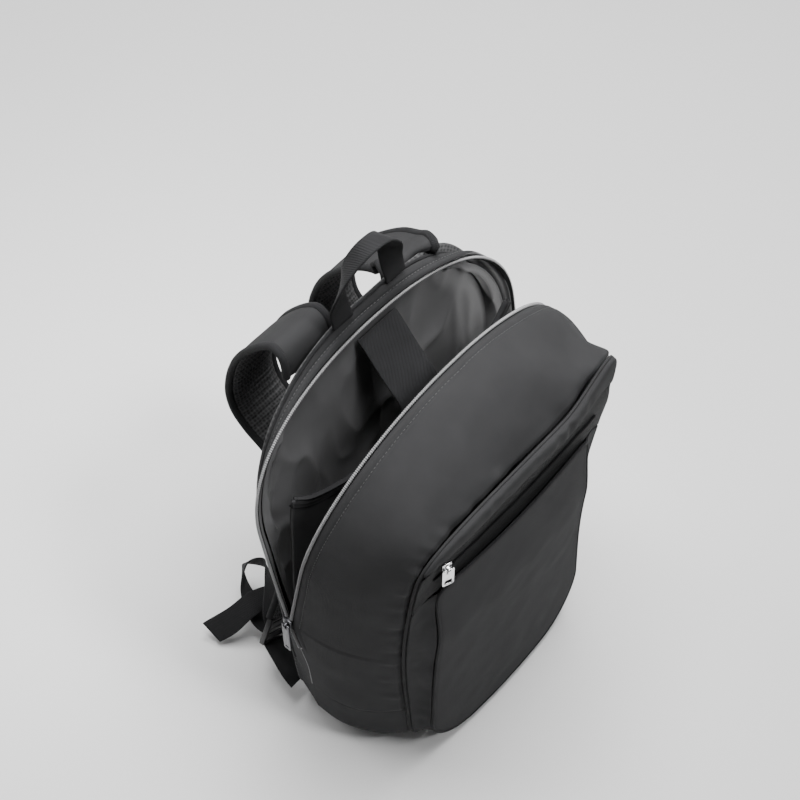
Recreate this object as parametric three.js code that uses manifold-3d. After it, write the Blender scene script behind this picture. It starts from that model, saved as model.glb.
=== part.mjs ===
import * as THREE from 'three';
import { mergeVertices } from 'three/addons/utils/BufferGeometryUtils.js';
import Module from 'manifold-3d';

const wasm = await Module();
wasm.setup();

// A laptop backpack standing on its base, unzipped: millimetres, +Z up, front towards -Y,
// origin in the middle of the flat underside.

// The bag
const bagWidth = 328;
const bagHeight = 441;
const baseDepth = 112;
const backLean = 0.086;
const clearance = 0.3;

// Cloth and padding
const clothThick = 2.4;
const baseThick = 2.8;
const liningThick = 1;
const backPadThick = 11;
const backEdgeThick = 3;
const wallThick = 2.2;

// The main zipper: where its sliders stop, and where it ends below them
const zipEnd = 191;
const zipFoot = 150;
const tapeWidth = 6;
const tapeThick = 1.4;
const coilWidth = 3;
const coilThick = 2.8;
const rearRimLean = 0.167;
const frontRimLean = -0.167;

// The front: hood band, pocket zipper and pocket
const hoodDrop = 28;
const hoodThick = 7.5;
const zipStripThick = 1.6;
const pocketDepth = 20;
const pocketTopDepth = 8;
const pocketBelly = 7;
const frontShift = -8;
const pocketShift = -12;
const pocketSliderDrop = 10;
const zipStripSpread = 8;
const sideSeamRise = 42;
const pocketSliderX = -102;

// The laptop sleeve
const dividerHeight = bagHeight * 0.7823;
const dividerThick = 4;
const sleeveDepth = 30;
const tabWidth = 46;
const tabThick = 1.8;

// The shoulder straps and their webbing
const strapWidth = 58;
const strapEndWidth = 46;
const strapThick = 5;
const meshThick = 4;
const strapCentre = 59;
const strapReach = 70;
const webWidth = 25;
const webThick = 1.6;
const lockHeight = 30;
const lockThick = 5;

// The grab handle
const handleWidth = 23;
const handleThick = 2.2;
const handleSpan = 63;
const handleRise = 86;
const handleAside = 1.5;

// Sliders and pulls
const mainPullLength = 42;
const mainPullWidth = 8;
const pocketPullLength = 22;
const pocketPullWidth = 10.5;
const pullThick = 1.8;
const sliderLength = 12;
const sliderWidth = 9;
const sliderThick = 2.6;

const mix = (a, b, share) => a + (b - a) * share;
const point = (x, y, z) => new THREE.Vector3(x, y, z);
const smooth = (share) => {
  const s = Math.min(1, Math.max(0, share));
  return s * s * (3 - 2 * s);
};

// Outlines seen from the front. half and foot are half-widths as shares of the bag's width, at
// the shoulder and at the base, with the corner's radius. top, shoulder and floor are heights as
// shares of the bag's height, and power is how square the arch is. On the right, rightPower stands
// in for it, and rightLift raises the shoulder by a share of the height.
const outlines = {
  back: {
    half: 0.447, foot: 0.43, corner: 0.122, top: 1, shoulder: 0.66,
    floor: 0.005, power: 2.25, rightPower: 2.25, rightLift: 0,
  },
  rearRim: {
    half: 0.497, foot: 0.458, corner: 0.128, top: 0.96, shoulder: 0.71,
    floor: 0, power: 2.2, rightPower: 2.2, rightLift: 0,
  },
  frontRim: {
    half: 0.482, foot: 0.458, corner: 0.128, top: 0.989, shoulder: 0.636,
    floor: 0, power: 2.08, rightPower: 2.08, rightLift: 0,
  },
  frontSeam: {
    half: 0.373, foot: 0.354, corner: 0.137, top: 0.864, shoulder: 0.725,
    floor: 0.016, power: 3.6, rightPower: 7, rightLift: 0.036,
  },
  pocket: {
    half: 0.29, foot: 0.32, corner: 0.16, top: 0.7, shoulder: 0.62,
    floor: 0.03, power: 6, rightPower: 6, rightLift: 0,
  },
};

// Depths, front to back
const backFoot = baseDepth * 0.52;
const sideSeamFoot = baseDepth * 0.3;
const rimMeeting = baseDepth * 0.42;
const frontFoot = -baseDepth * 0.437;
const frontNod = baseDepth * 0.205;
const backDepth = (z) => backFoot + backLean * z;
const sideSeamStart = zipFoot - sideSeamRise;
const sideSeamDepth = (z) => (
  mix(sideSeamFoot, rimMeeting, smooth((z - sideSeamStart) / (zipEnd - sideSeamStart))));
const rearRimDepth = (z) => (z < zipEnd ? sideSeamDepth(z) : rimMeeting + rearRimLean * (z - zipEnd));
const frontRimDepth = (z) => (z < zipEnd ? sideSeamDepth(z) : rimMeeting + frontRimLean * (z - zipEnd));
const frontSeamDepth = (z) => {
  const rise = Math.max(0, z / bagHeight - 0.27) / 0.594;
  return frontFoot - frontNod * rise * rise;
};
const wallFace = (z) => frontSeamDepth(z) - clearance - wallThick;
const pocketFace = (z) => wallFace(z) - mix(pocketDepth, pocketTopDepth, smooth((z / bagHeight - 0.5) / 0.2));

// How far the front has slumped to the left at a height
const slump = (shift, z, x) => (
  shift * smooth(z / (bagHeight * 0.55)) * mix(1, 0.4, smooth(x / bagWidth * 2.5 + 0.3)));

// A place on an outline: 0 is the middle of the base, 1 and 2 the two ends of its corner, 3 and 4
// the zipper's foot and end, 5 the shoulder and 6 the top, negative on the left.
function outlineAt(outline, place) {
  const side = Math.sign(place) || 1;
  const at = Math.abs(place);
  const foot = outline.foot * bagWidth;
  const corner = outline.corner * bagWidth;
  const floor = outline.floor * bagHeight;
  const shoulder = outline.shoulder * bagHeight;
  if (at <= 1) return [side * (foot - corner) * at, floor];
  if (at <= 2) {
    const turn = (at - 1) * Math.PI / 2;
    return [side * (foot - corner + corner * Math.sin(turn)), floor + corner * (1 - Math.cos(turn))];
  }
  if (at <= 5) {
    const heights = [floor + corner, zipFoot, zipEnd, shoulder];
    const step = Math.min(2, Math.floor(at - 2));
    const z = mix(heights[step], heights[step + 1], at - 2 - step);
    return [side * halfWidthAt(outline, z), z];
  }
  const turn = (at - 5) * Math.PI / 2;
  const power = 2 / (side > 0 ? outline.rightPower : outline.power);
  const lift = side > 0 ? outline.rightLift * bagHeight * Math.sin(turn * 2) ** 2 : 0;
  const x = outline.half * bagWidth * Math.max(0, Math.cos(turn)) ** power;
  return [side * x, mix(shoulder, outline.top * bagHeight, Math.sin(turn) ** power) + lift];
}

// An outline's half-width at a height
function halfWidthAt(outline, z) {
  const foot = outline.foot * bagWidth;
  const half = outline.half * bagWidth;
  const corner = outline.corner * bagWidth;
  const up = z - outline.floor * bagHeight;
  const shoulder = outline.shoulder * bagHeight;
  if (up < corner) return foot - corner + Math.sqrt(Math.max(0, corner ** 2 - (corner - up) ** 2));
  if (z <= shoulder) {
    const share = (up - corner) / (shoulder - outline.floor * bagHeight - corner);
    return mix(foot, half, Math.sin(share * Math.PI / 2));
  }
  const share = Math.min(1, (z - shoulder) / (outline.top * bagHeight - shoulder));
  return half * (1 - share ** outline.power) ** (1 / outline.power);
}

// An outline between two others
function blendOutlines(a, b, share, floorShare) {
  const blended = {};
  for (const key of Object.keys(a)) blended[key] = mix(a[key], b[key], share);
  blended.floor = mix(a.floor, b.floor, floorShare);
  return blended;
}

// Places from one to another, with more where the outline bends more
const placeSteps = [2, 4, 4, 2, 4, 11];
function placesBetween(from, to) {
  const places = [from];
  for (let part = Math.floor(from); part < to; part += 1) {
    for (let step = 1; step <= placeSteps[part]; step += 1) {
      const place = part + step / placeSteps[part];
      if (place > from + 0.01 && place < to - 0.01) places.push(place);
    }
  }
  places.push(to);
  return places;
}
const overTheTop = (from) => {
  const left = placesBetween(from, 6);
  return [...left.map((place) => -place), ...left.slice(0, -1).reverse()];
};
const underTheBase = (to) => {
  const right = placesBetween(0, to);
  return [...right.slice(1).map((place) => -place).reverse(), ...right.slice(1)];
};
const allRound = () => [...overTheTop(1), ...placesBetween(0, 1).slice(1, -1).reverse(),
  ...placesBetween(0, 1).slice(1, -1).map((place) => -place)];

// A closed body from points and triangles, turned so that its faces point out
function bodyFrom(points, triangles) {
  const volume = triangles.reduce((sum, [a, b, c]) => (
    sum + points[a].dot(points[b].clone().cross(points[c]))), 0);
  const faces = volume < 0 ? triangles.map(([a, b, c]) => [a, c, b]) : triangles;
  const geometry = new THREE.BufferGeometry();
  geometry.setAttribute('position', new THREE.Float32BufferAttribute(points.flatMap((p) => p.toArray()), 3));
  geometry.setIndex(faces.flat());
  geometry.computeVertexNormals();
  return geometry;
}

// A wall: two sheets of points, row by row, closed at their four edges
function slab(outer, inner) {
  const rows = outer.length;
  const columns = outer[0].length;
  const points = [...outer.flat(), ...inner.flat()];
  const at = (sheet, row, column) => sheet * rows * columns + row * columns + column;
  const triangles = [];
  const quad = (a, b, c, d) => triangles.push([a, b, c], [a, c, d]);
  for (let row = 0; row < rows - 1; row += 1) {
    for (let column = 0; column < columns - 1; column += 1) {
      quad(at(0, row, column), at(0, row, column + 1), at(0, row + 1, column + 1), at(0, row + 1, column));
      quad(at(1, row, column), at(1, row + 1, column), at(1, row + 1, column + 1), at(1, row, column + 1));
    }
    quad(at(0, row, 0), at(0, row + 1, 0), at(1, row + 1, 0), at(1, row, 0));
    const last = columns - 1;
    quad(at(0, row, last), at(1, row, last), at(1, row + 1, last), at(0, row + 1, last));
  }
  for (let column = 0; column < columns - 1; column += 1) {
    const last = rows - 1;
    quad(at(0, 0, column), at(1, 0, column), at(1, 0, column + 1), at(0, 0, column + 1));
    quad(at(0, last, column), at(0, last, column + 1), at(1, last, column + 1), at(1, last, column));
  }
  return bodyFrom(points, triangles);
}

// A body carried through closed rings of points, with a fan at each end
function loft(rings, start, end) {
  const size = rings[0].length;
  const points = [...rings.flat(), start ?? middleOf(rings[0]), end ?? middleOf(rings.at(-1))];
  const startAt = points.length - 2;
  const endAt = points.length - 1;
  const triangles = [];
  for (let ring = 0; ring < rings.length - 1; ring += 1) {
    for (let step = 0; step < size; step += 1) {
      const next = (step + 1) % size;
      const a = ring * size;
      const b = a + size;
      triangles.push([a + step, a + next, b + next], [a + step, b + next, b + step]);
    }
  }
  const last = (rings.length - 1) * size;
  for (let step = 0; step < size; step += 1) {
    const next = (step + 1) % size;
    triangles.push([startAt, next, step], [endAt, last + step, last + next]);
  }
  return bodyFrom(points, triangles);
}

function middleOf(ring) {
  const sum = ring.reduce((total, p) => total.add(p), point(0, 0, 0));
  return sum.divideScalar(ring.length);
}

// A sheet moved towards the bag's heart by a thickness, which may change along its rows. It stays
// in front of the back panel.
function thickened(sheet, thickness) {
  const heart = point(0, 0, bagHeight * 0.45);
  return sheet.map((row, r) => row.map((p, c) => {
    const before = sheet[Math.max(0, r - 1)][c];
    const after = sheet[Math.min(sheet.length - 1, r + 1)][c];
    const along = row[Math.min(row.length - 1, c + 1)].clone().sub(row[Math.max(0, c - 1)]);
    const normal = after.clone().sub(before).cross(along).normalize();
    if (normal.dot(p.clone().sub(heart)) < 0) normal.negate();
    const depth = typeof thickness === 'function' ? thickness(r) : thickness;
    const moved = p.clone().addScaledVector(normal, -depth);
    moved.y = Math.min(moved.y, backDepth(moved.z) - clearance);
    return moved;
  }));
}
const clothWall = (sheet, thickness) => slab(sheet, thickened(sheet, thickness));

// Points of the bag's skin
const backAt = (place) => {
  const [x, z] = outlineAt(outlines.back, place);
  return point(x, backDepth(z) - clearance, z);
};
const rearRimAt = (place) => {
  const [x, z] = outlineAt(outlines.rearRim, place);
  return point(x, rearRimDepth(z), z);
};

// The skin in front of the zipper: share 0 is the rim and 1 the front seam
const bellyPower = 2.4;
const rightBelly = 1.3;
const bellyAt = (place) => (
  mix(bellyPower, rightBelly, smooth(place - 4) * (1 - smooth((place - 5.6) / 0.4))));
const floorTurn = 0.72;
function frontSkin(place, share) {
  const floorShare = (Math.max(0, share - floorTurn) / (1 - floorTurn)) ** 1.5;
  const rim = Math.abs(place) <= 4 ? outlines.rearRim : outlines.frontRim;
  const blend = share ** bellyAt(place);
  const [x, z] = outlineAt(blendOutlines(rim, outlines.frontSeam, blend, floorShare), place);
  const meeting = halfWidthAt(outlines.rearRim, zipEnd) - halfWidthAt(outlines.frontRim, zipEnd);
  const ease = Math.abs(place) > 4 && Math.abs(place) < 5 ? 5 - Math.abs(place) : 0;
  const across = x + Math.sign(x) * meeting * ease * (1 - share) + slump(frontShift, z, x) * share * share;
  return point(across, mix(frontRimDepth(z), frontSeamDepth(z), share), z);
}

// A share between two skin points that keeps a distance from each
const trimmed = (length, share, before, after) => mix(before / length, 1 - after / length, share);
const frontLength = (place) => frontSkin(place, 0).distanceTo(frontSkin(place, 1)) * 1.06;
const rimTrim = (place) => (Math.abs(place) >= 3 ? tapeWidth + clearance * 2 : clearance * 3);
const baseSplit = 2.35;
const splitGap = 0.003;

function rearBand(place, before, after, share) {
  const from = backAt(place);
  const to = rearRimAt(place);
  return from.clone().lerp(to, trimmed(from.distanceTo(to), share, before, after));
}

function rearGusset() {
  const places = overTheTop(baseSplit + splitGap);
  const sheet = [0, 0.5, 1].map((share) => places.map((place) => rearBand(place, 0, rimTrim(place), share)));
  return clothWall(sheet, clothThick);
}

function frontShell() {
  const places = overTheTop(baseSplit + splitGap);
  const shares = [0, 0.18, 0.36, 0.54, 0.7, 0.85, 1];
  const sheet = shares.map((share) => places.map((place) => (
    frontSkin(place, trimmed(frontLength(place), share, rimTrim(place), 0)))));
  return clothWall(sheet, clothThick);
}

// The base with its two rounded corners: flat from the side seams to where the front turns up
function baseGusset() {
  const places = underTheBase(baseSplit);
  const sheet = [places.map(backAt)];
  for (const share of [0, 0.3, 0.6, floorTurn, 0.86, 1]) {
    sheet.push(places.map((place) => frontSkin(place, share)));
  }
  return clothWall(sheet, baseThick);
}

// A ring of points scaled towards a centre. shift is how far it has slumped to the side.
const ringScaled = (outline, scale, centreZ, depth, shift = 0) => allRound().map((place) => {
  const [x, z] = outlineAt(outline, place);
  const height = mix(centreZ, z, scale);
  return point(x * scale + slump(shift, height, x * scale), depth(height, scale, x * scale), height);
});

// A flat or domed panel: rows of scale, with a depth for each face
function panel(outline, faceRows, innerRows, faceDepth, innerDepth, shift = 0) {
  const centreZ = (outline.top + outline.floor) / 2 * bagHeight;
  const rings = [
    ...faceRows.map((scale) => ringScaled(outline, scale, centreZ, faceDepth, shift)),
    ...innerRows.map((scale) => ringScaled(outline, scale, centreZ, innerDepth, shift)),
  ];
  const middle = slump(shift, centreZ, 0);
  const start = point(middle, faceDepth(centreZ, 0, 0), centreZ);
  const end = point(middle, innerDepth(centreZ, 0, 0), centreZ);
  return loft(rings, start, end);
}

function backPanel() {
  const dome = (scale) => mix(backPadThick, backEdgeThick, smooth((scale - 0.8) / 0.2));
  const face = (z, scale) => backDepth(z) + dome(scale);
  return panel(outlines.back, [0.5, 0.8, 0.9, 0.96, 1], [1, 0.5], face, backDepth);
}

function frontWall() {
  return panel(outlines.frontSeam, [0.5, 0.85, 1], [1, 0.85, 0.5], wallFace,
    (z) => frontSeamDepth(z) - clearance, frontShift);
}

// The lining behind the sleeve: a shallow bowl inside the rear band and over the back panel
function lining() {
  const centreZ = (outlines.back.top + outlines.back.floor) / 2 * bagHeight;
  const inset = clothThick + liningThick + clearance * 8;
  const bowl = (extra) => {
    const panelDepth = (z) => backDepth(z) - clearance * 2 - extra;
    const moved = (p) => {
      const scale = 1 - (inset + extra) / Math.hypot(p.x, p.z - centreZ);
      const z = mix(centreZ, p.z, scale);
      return point(p.x * scale, Math.min(p.y, panelDepth(z)), z);
    };
    const sides = [0.04, 0.5, 1].map((share) => allRound().map((place) => (
      moved(rearBand(place, 2, tapeWidth + clearance * 6, share)))));
    const flat = [0.5, 0.9].map((scale) => ringScaled(outlines.back, scale, centreZ, panelDepth));
    return [...flat, ...sides];
  };
  const depth = backDepth(centreZ) - clearance * 2;
  return loft([...bowl(0), ...bowl(liningThick).reverse()], point(0, depth, centreZ),
    point(0, depth - liningThick, centreZ));
}

// The zipper tapes: flat at the cloth and thicker at the coil
const coilFrom = (tapeWidth - coilWidth) / tapeWidth;
const tapeSection = (row) => (row < 2 ? tapeThick : coilThick);
function rearZipTape() {
  const places = overTheTop(4.06);
  const sheet = [0, coilFrom, coilFrom + 0.05, 1].map((share) => places.map((place) => (
    rearBand(place, 0, tapeWidth * (1 - share), 1))));
  return clothWall(sheet, tapeSection);
}

function frontZipTape() {
  const places = overTheTop(4.06);
  const sheet = [1, 1 - coilFrom, 0.95 - coilFrom, 0].map((share) => places.map((place) => (
    frontSkin(place, tapeWidth * share / frontLength(place)))));
  return clothWall(sheet, tapeSection);
}

// The closed length of zipper below a slider
function zipFootPiece(side) {
  const places = placesBetween(3.01, 4.04).map((place) => place * side);
  const sheet = [tapeWidth, coilWidth / 2, 0].map((back) => places.map((place) => (
    rearBand(place, 0, back, 1))));
  for (const front of [coilWidth / 2, tapeWidth]) {
    sheet.push(places.map((place) => frontSkin(place, front / frontLength(place))));
  }
  return clothWall(sheet, tapeThick);
}

// The hood band over the pocket's zipper: a crescent under the front seam's top
const seamTop = outlines.frontSeam.top * bagHeight;
const hoodLow = seamTop - hoodDrop;
const hoodHalf = halfWidthAt(outlines.frontSeam, hoodLow) * 0.985;
function seamHeightAt(x) {
  const seam = outlines.frontSeam;
  const share = Math.min(1, Math.abs(x) / (seam.half * bagWidth));
  const power = x > 0 ? seam.rightPower : seam.power;
  const turn = Math.acos(share ** (power / 2));
  const lift = x > 0 ? seam.rightLift * bagHeight * Math.sin(turn * 2) ** 2 : 0;
  return mix(seam.shoulder * bagHeight, seamTop, (1 - share ** power) ** (1 / power)) + lift;
}

function hoodBand() {
  const across = [-1, -0.96, -0.88, -0.76, -0.5, -0.2, 0.2, 0.5, 0.76, 0.88, 0.96, 1];
  const down = [0, 0.15, 0.4, 0.7, 0.9, 1];
  const puff = (share) => 0.2 + 0.8 * Math.sin(Math.PI * (0.08 + share * 0.8));
  const sheet = (thick) => down.map((share) => across.map((a) => {
    const x = a * hoodHalf;
    const z = mix(seamHeightAt(x) - 0.6, hoodLow - 1.5 * Math.abs(a), share);
    const taper = 1 - (a > 0 ? 0.3 : 0.75) * Math.abs(a) ** 6;
    const depth = wallFace(z) - clearance - (thick ? hoodThick * puff(share) * taper : 0);
    return point(x + slump(frontShift, z, x), depth, z);
  }));
  return slab(sheet(true), sheet(false));
}

// The closed zipper's strip under the hood. Its ends turn the corner to the front seam.
const pocketSeamPlace = (place) => {
  const at = Math.abs(place);
  return Math.sign(place) * (Math.min(at, 4) + Math.max(0, at - 4) * 0.55);
};
const gussetEnd = 5.35;
const pocketTop = outlines.pocket.top * bagHeight;
function pocketZipStrip() {
  const half = outlines.pocket.half * bagWidth + zipStripSpread;
  const high = hoodLow - 2.4;
  const low = pocketTop - 3;
  const sideLow = outlineAt(outlines.frontSeam, pocketSeamPlace(gussetEnd))[1] + 1.5;
  const across = [-1, -0.9, -0.5, 0, 0.5, 0.9, 1];
  const sheet = (back) => [0, 0.3, 0.5, 1].map((share) => across.map((a) => {
    const atSeam = Math.abs(a) === 1;
    const z = mix(high - (atSeam ? 3 : 0), atSeam ? sideLow : low, share);
    const shift = slump(mix(frontShift, pocketShift, atSeam ? 0 : share), z, a * half);
    const x = (atSeam ? a * (halfWidthAt(outlines.frontSeam, z) - 2) : a * half / 0.9) + shift;
    const flat = wallFace(z) - clearance - zipStripThick;
    const face = pocketFace(low) - pocketBelly * (1 - a * a) + wallThick + clearance + zipStripThick;
    const bend = atSeam ? flat : mix(flat - 1, Math.min(face, flat - 1), share);
    return point(x, bend + (back ? zipStripThick : 0), z);
  }));
  return slab(sheet(false), sheet(true));
}

// The pocket's face: fullest in the middle of its width
function pocketFront() {
  const half = outlines.pocket.foot * bagWidth;
  const face = (z, scale, x) => pocketFace(z) - pocketBelly * (1 - (x / half) ** 2);
  const inside = (...at) => face(...at) + wallThick;
  return panel(outlines.pocket, [0.4, 0.75, 1], [1, 0.75, 0.4], face, inside, pocketShift);
}

// The pocket's sides and bottom, from the front seam to the pocket's face
function pocketGusset() {
  const places = underTheBase(gussetEnd);
  const gussetThick = wallThick * 0.8;
  const sheet = [0, 0.5, 1].map((share) => places.map((place) => {
    const [x, z] = outlineAt(outlines.frontSeam, pocketSeamPlace(place));
    const [px, pz] = outlineAt(outlines.pocket, place);
    const low = mix(bagHeight * 0.42, z, 0.985);
    const from = point(x * 0.985 + slump(frontShift, z, x), wallFace(low) - clearance - gussetThick, low);
    const half = outlines.pocket.foot * bagWidth;
    const depth = pocketFace(pz) - pocketBelly * (1 - (px / half) ** 2);
    const to = point(px + slump(pocketShift, pz, px), depth, pz);
    return from.clone().lerp(to, trimmed(from.distanceTo(to), share, 0, wallThick + clearance * 4));
  }));
  return clothWall(sheet, gussetThick);
}

const sleeveMouth = rimMeeting + 6;
function laptopDivider() {
  const bulge = sleeveDepth / 3;
  const wallStack = baseThick + liningThick + clearance * 12;
  const floor = baseThick + liningThick + clearance * 9;
  const heights = [0, 0.03, 0.07, 0.12, 0.3, 0.5, 0.7, 0.85, 0.95, 1];
  const across = [-1, -0.75, -0.4, 0, 0.4, 0.75, 1];
  const sheet = (back) => heights.map((share) => across.map((a) => {
    const z = mix(floor, dividerHeight, share);
    const room = halfWidthAt(outlines.rearRim, z) - wallStack;
    const half = room - smooth((z - zipEnd) / (dividerHeight - zipEnd)) * bagWidth * 0.045;
    const sag = share * dividerHeight * 0.08 * (1 - a ** 4);
    const depth = mix(backDepth(0) - sleeveDepth, sleeveMouth, share) - bulge * share * (1 - a * a);
    return point(a * half, depth + (back ? dividerThick : 0), z - sag);
  }));
  return slab(sheet(false), sheet(true));
}

// A ribbon along stations. Each has its middle, the direction of its width and its width.
function ribbon(stations, thickness) {
  const rings = stations.map((station, i) => {
    const before = stations[Math.max(0, i - 1)].at;
    const after = stations[Math.min(stations.length - 1, i + 1)].at;
    const along = after.clone().sub(before).normalize();
    const face = along.clone().cross(station.across).normalize();
    return [[-1, -1], [0, -1], [1, -1], [1, 1], [0, 1], [-1, 1]].map(([w, t]) => station.at.clone()
      .addScaledVector(station.across, w * station.width / 2)
      .addScaledVector(face, t * thickness / 2 + (station.lift ?? 0)));
  });
  return loft(rings);
}

// Rounds a list of table rows into a smooth run of stations
function smoothRun(rows, steps) {
  const curve = new THREE.CatmullRomCurve3(rows.map((row) => row.at), false, 'centripetal');
  const turns = new THREE.CatmullRomCurve3(rows.map((row) => row.across), false, 'centripetal');
  const widths = new THREE.CatmullRomCurve3(rows.map((row) => point(row.width, 0, 0)));
  return Array.from({ length: steps + 1 }, (_, i) => ({
    at: curve.getPoint(i / steps),
    across: turns.getPoint(i / steps).normalize(),
    width: widths.getPoint(i / steps).x,
  }));
}

// The tab over the sleeve. rise is a share of the divider's height, reach runs from the divider (0)
// to the back panel (1), and slide is a share of the tab's width.
const tabRun = [
  { rise: 1.2, reach: 0.84, slide: -0.04 },
  { rise: 1.185, reach: 0.7, slide: -0.04 },
  { rise: 1.14, reach: 0.4, slide: -0.03 },
  { rise: 1.1, reach: 0.06, slide: -0.03 },
  { rise: 1.06, reach: -0.28, slide: -0.02 },
  { rise: 1, reach: -0.42, slide: -0.02 },
  { rise: 0.93, reach: -0.44, slide: -0.02 },
  { rise: 0.87, reach: -0.405, slide: -0.02 },
];
function laptopTab() {
  const rows = tabRun.map((row) => {
    const z = row.rise * dividerHeight;
    const back = backDepth(z) - clearance * 2 - liningThick;
    const at = point(row.slide * tabWidth, mix(sleeveMouth, back, row.reach), z);
    return { at, across: point(1, 0, 0), width: tabWidth };
  });
  return ribbon(smoothRun(rows, 12), tabThick);
}

// A shoulder strap, from the back panel's top seam down to the adjuster. rise is a share of the
// bag's height, reach of the strap's reach behind the back panel, and spread of the bag's width.
const strapRun = [
  { rise: 0.935, reach: 0.108, spread: 0 },
  { rise: 0.975, reach: 0.1, spread: 0 },
  { rise: 0.998, reach: 0.15, spread: 0 },
  { rise: 1.007, reach: 0.25, spread: 0 },
  { rise: 0.99, reach: 0.42, spread: 0 },
  { rise: 0.958, reach: 0.62, spread: 0 },
  { rise: 0.91, reach: 0.86, spread: 0 },
  { rise: 0.86, reach: 1.04, spread: 0 },
  { rise: 0.8, reach: 1.18, spread: 0 },
  { rise: 0.75, reach: 1.24, spread: 0 },
  { rise: 0.705, reach: 1.2, spread: 0 },
  { rise: 0.672, reach: 1.04, spread: 0 },
  { rise: 0.635, reach: 0.76, spread: 0 },
  { rise: 0.58, reach: 0.62, spread: 0 },
  { rise: 0.52, reach: 0.57, spread: 0.003 },
  { rise: 0.43, reach: 0.55, spread: 0.012 },
  { rise: 0.34, reach: 0.55, spread: 0.04 },
  { rise: 0.25, reach: 0.56, spread: 0.1 },
  { rise: 0.17, reach: 0.58, spread: 0.165 },
];
// How each strap lies: its reach, and how far it has slipped down and aside
const strapSides = {
  left: { side: -1, reach: 1, drop: 0.006, aside: 0 },
  right: { side: 1, reach: 1.26, drop: 0.052, aside: 0.018 },
};

function strapStations({ side, reach, drop, aside }) {
  const rows = strapRun.map((row, i) => {
    const loose = smooth((i - 1) / 2) * (1 - smooth((i - 10) / 4));
    const z = (row.rise - drop * loose) * bagHeight;
    const behind = backDepth(z) + backEdgeThick + mix(row.reach, row.reach * reach, loose) * strapReach;
    return {
      at: point(side * (strapCentre + (row.spread + aside * loose) * bagWidth), behind, z),
      across: point(1, 0, side * 0.45 * smooth((i - 14) / 4)).normalize(),
      width: mix(strapWidth, strapEndWidth, smooth((i - 11) / 5)),
    };
  });
  return smoothRun(rows, 36);
}

function strap(sideSizes) {
  return ribbon(strapStations(sideSizes), strapThick);
}

function strapMesh(sideSizes) {
  const stations = strapStations(sideSizes).slice(5);
  const lift = (strapThick + meshThick) / 2 + clearance * 2;
  return ribbon(stations.map((s) => ({ ...s, width: s.width - 6, lift })), meshThick);
}

// The adjuster at a strap's end: a plastic frame with two slots
function ladderLock() {
  const half = webWidth / 2 + 5;
  const frame = new THREE.Shape();
  frame.moveTo(-half, 0);
  frame.lineTo(half, 0);
  frame.lineTo(half, -lockHeight);
  frame.lineTo(-half, -lockHeight);
  frame.closePath();
  for (const top of [0.14, 0.57]) {
    const slot = new THREE.Path();
    slot.moveTo(-half + 4, -lockHeight * top);
    slot.lineTo(-half + 4, -lockHeight * (top + 0.29));
    slot.lineTo(half - 4, -lockHeight * (top + 0.29));
    slot.lineTo(half - 4, -lockHeight * top);
    slot.closePath();
    frame.holes.push(slot);
  }
  const geometry = new THREE.ExtrudeGeometry(frame, { depth: lockThick, bevelEnabled: false });
  return geometry.translate(0, 0, -lockThick / 2);
}

// Where a strap ends, and the way its adjuster and webbing turn there
function lockFrame(sideSizes) {
  const stations = strapStations(sideSizes);
  const end = stations.at(-1);
  const down = end.at.clone().sub(stations.at(-2).at).normalize();
  const across = end.across.clone().addScaledVector(down, -down.dot(end.across)).normalize();
  const out = across.clone().cross(down).normalize();
  const skew = Math.abs(end.across.dot(down)) * end.width / 2;
  return { at: end.at.clone().addScaledVector(down, clearance + skew), down, across, out };
}

function placedLock(sideSizes) {
  const { at, down, across, out } = lockFrame(sideSizes);
  const up = down.clone().negate();
  const turn = new THREE.Matrix4().makeBasis(across, up, out).setPosition(at);
  if (turn.determinant() < 0) turn.makeBasis(across.clone().negate(), up, out).setPosition(at);
  return ladderLock().applyMatrix4(turn);
}

// The webbing from the adjuster to the base's corner
function lowerWeb(sideSizes) {
  const { at, down, across } = lockFrame(sideSizes);
  const start = at.clone().addScaledVector(down, lockHeight + clearance + webThick * 0.6);
  const foot = backAt(1.75 * sideSizes.side);
  const end = point(foot.x, foot.y + backEdgeThick + clearance * 5 + webThick / 2, foot.z + 1);
  const lying = end.clone().add(point(0, 0, webWidth * 0.25));
  lying.y = start.y * 0.25 + end.y * 0.75;
  const rows = [start, start.clone().lerp(lying, 0.5), lying, end].map((p, i) => ({
    at: p, across: across.clone().lerp(point(1, 0, 0), i / 3).normalize(), width: webWidth }));
  return ribbon(smoothRun(rows, 8), webThick);
}

// The webbing's free end: it leaves the adjuster, turns round on the floor and ends in a curl.
// out is the distance from the bag's middle as a share of its width, back the distance behind it
// as a share of the base's depth, and up the height as a share of the bag's; turn is the width's
// direction.
const tailRun = [
  { out: 0.27, back: 1.34, up: 0.13, turn: [0.6, -0.2, 0.7] },
  { out: 0.232, back: 1.53, up: 0.105, turn: [0.1, -0.25, 0.95] },
  { out: 0.262, back: 1.65, up: 0.095, turn: [0.2, -0.45, 0.8] },
  { out: 0.306, back: 1.57, up: 0.092, turn: [0.75, -0.6, 0.35] },
  { out: 0.335, back: 1.42, up: 0.075, turn: [0.85, -0.5, 0.1] },
  { out: 0.34, back: 1.22, up: 0.045, turn: [0.95, -0.3, 0] },
  { out: 0.31, back: 1.08, up: 0.026, turn: [0.5, -0.85, 0] },
  { out: 0.262, back: 1.11, up: 0.05, turn: [-0.5, -0.8, 0.3] },
  { out: 0.285, back: 1.22, up: 0.1, turn: [-0.75, -0.1, 0.65] },
  { out: 0.345, back: 1.32, up: 0.098, turn: [-0.5, 0.55, 0.65] },
  { out: 0.41, back: 1.42, up: 0.055, turn: [-0.3, 0.75, 0.55] },
  { out: 0.465, back: 1.52, up: 0.028, turn: [0, 0.88, 0.45] },
];
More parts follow.
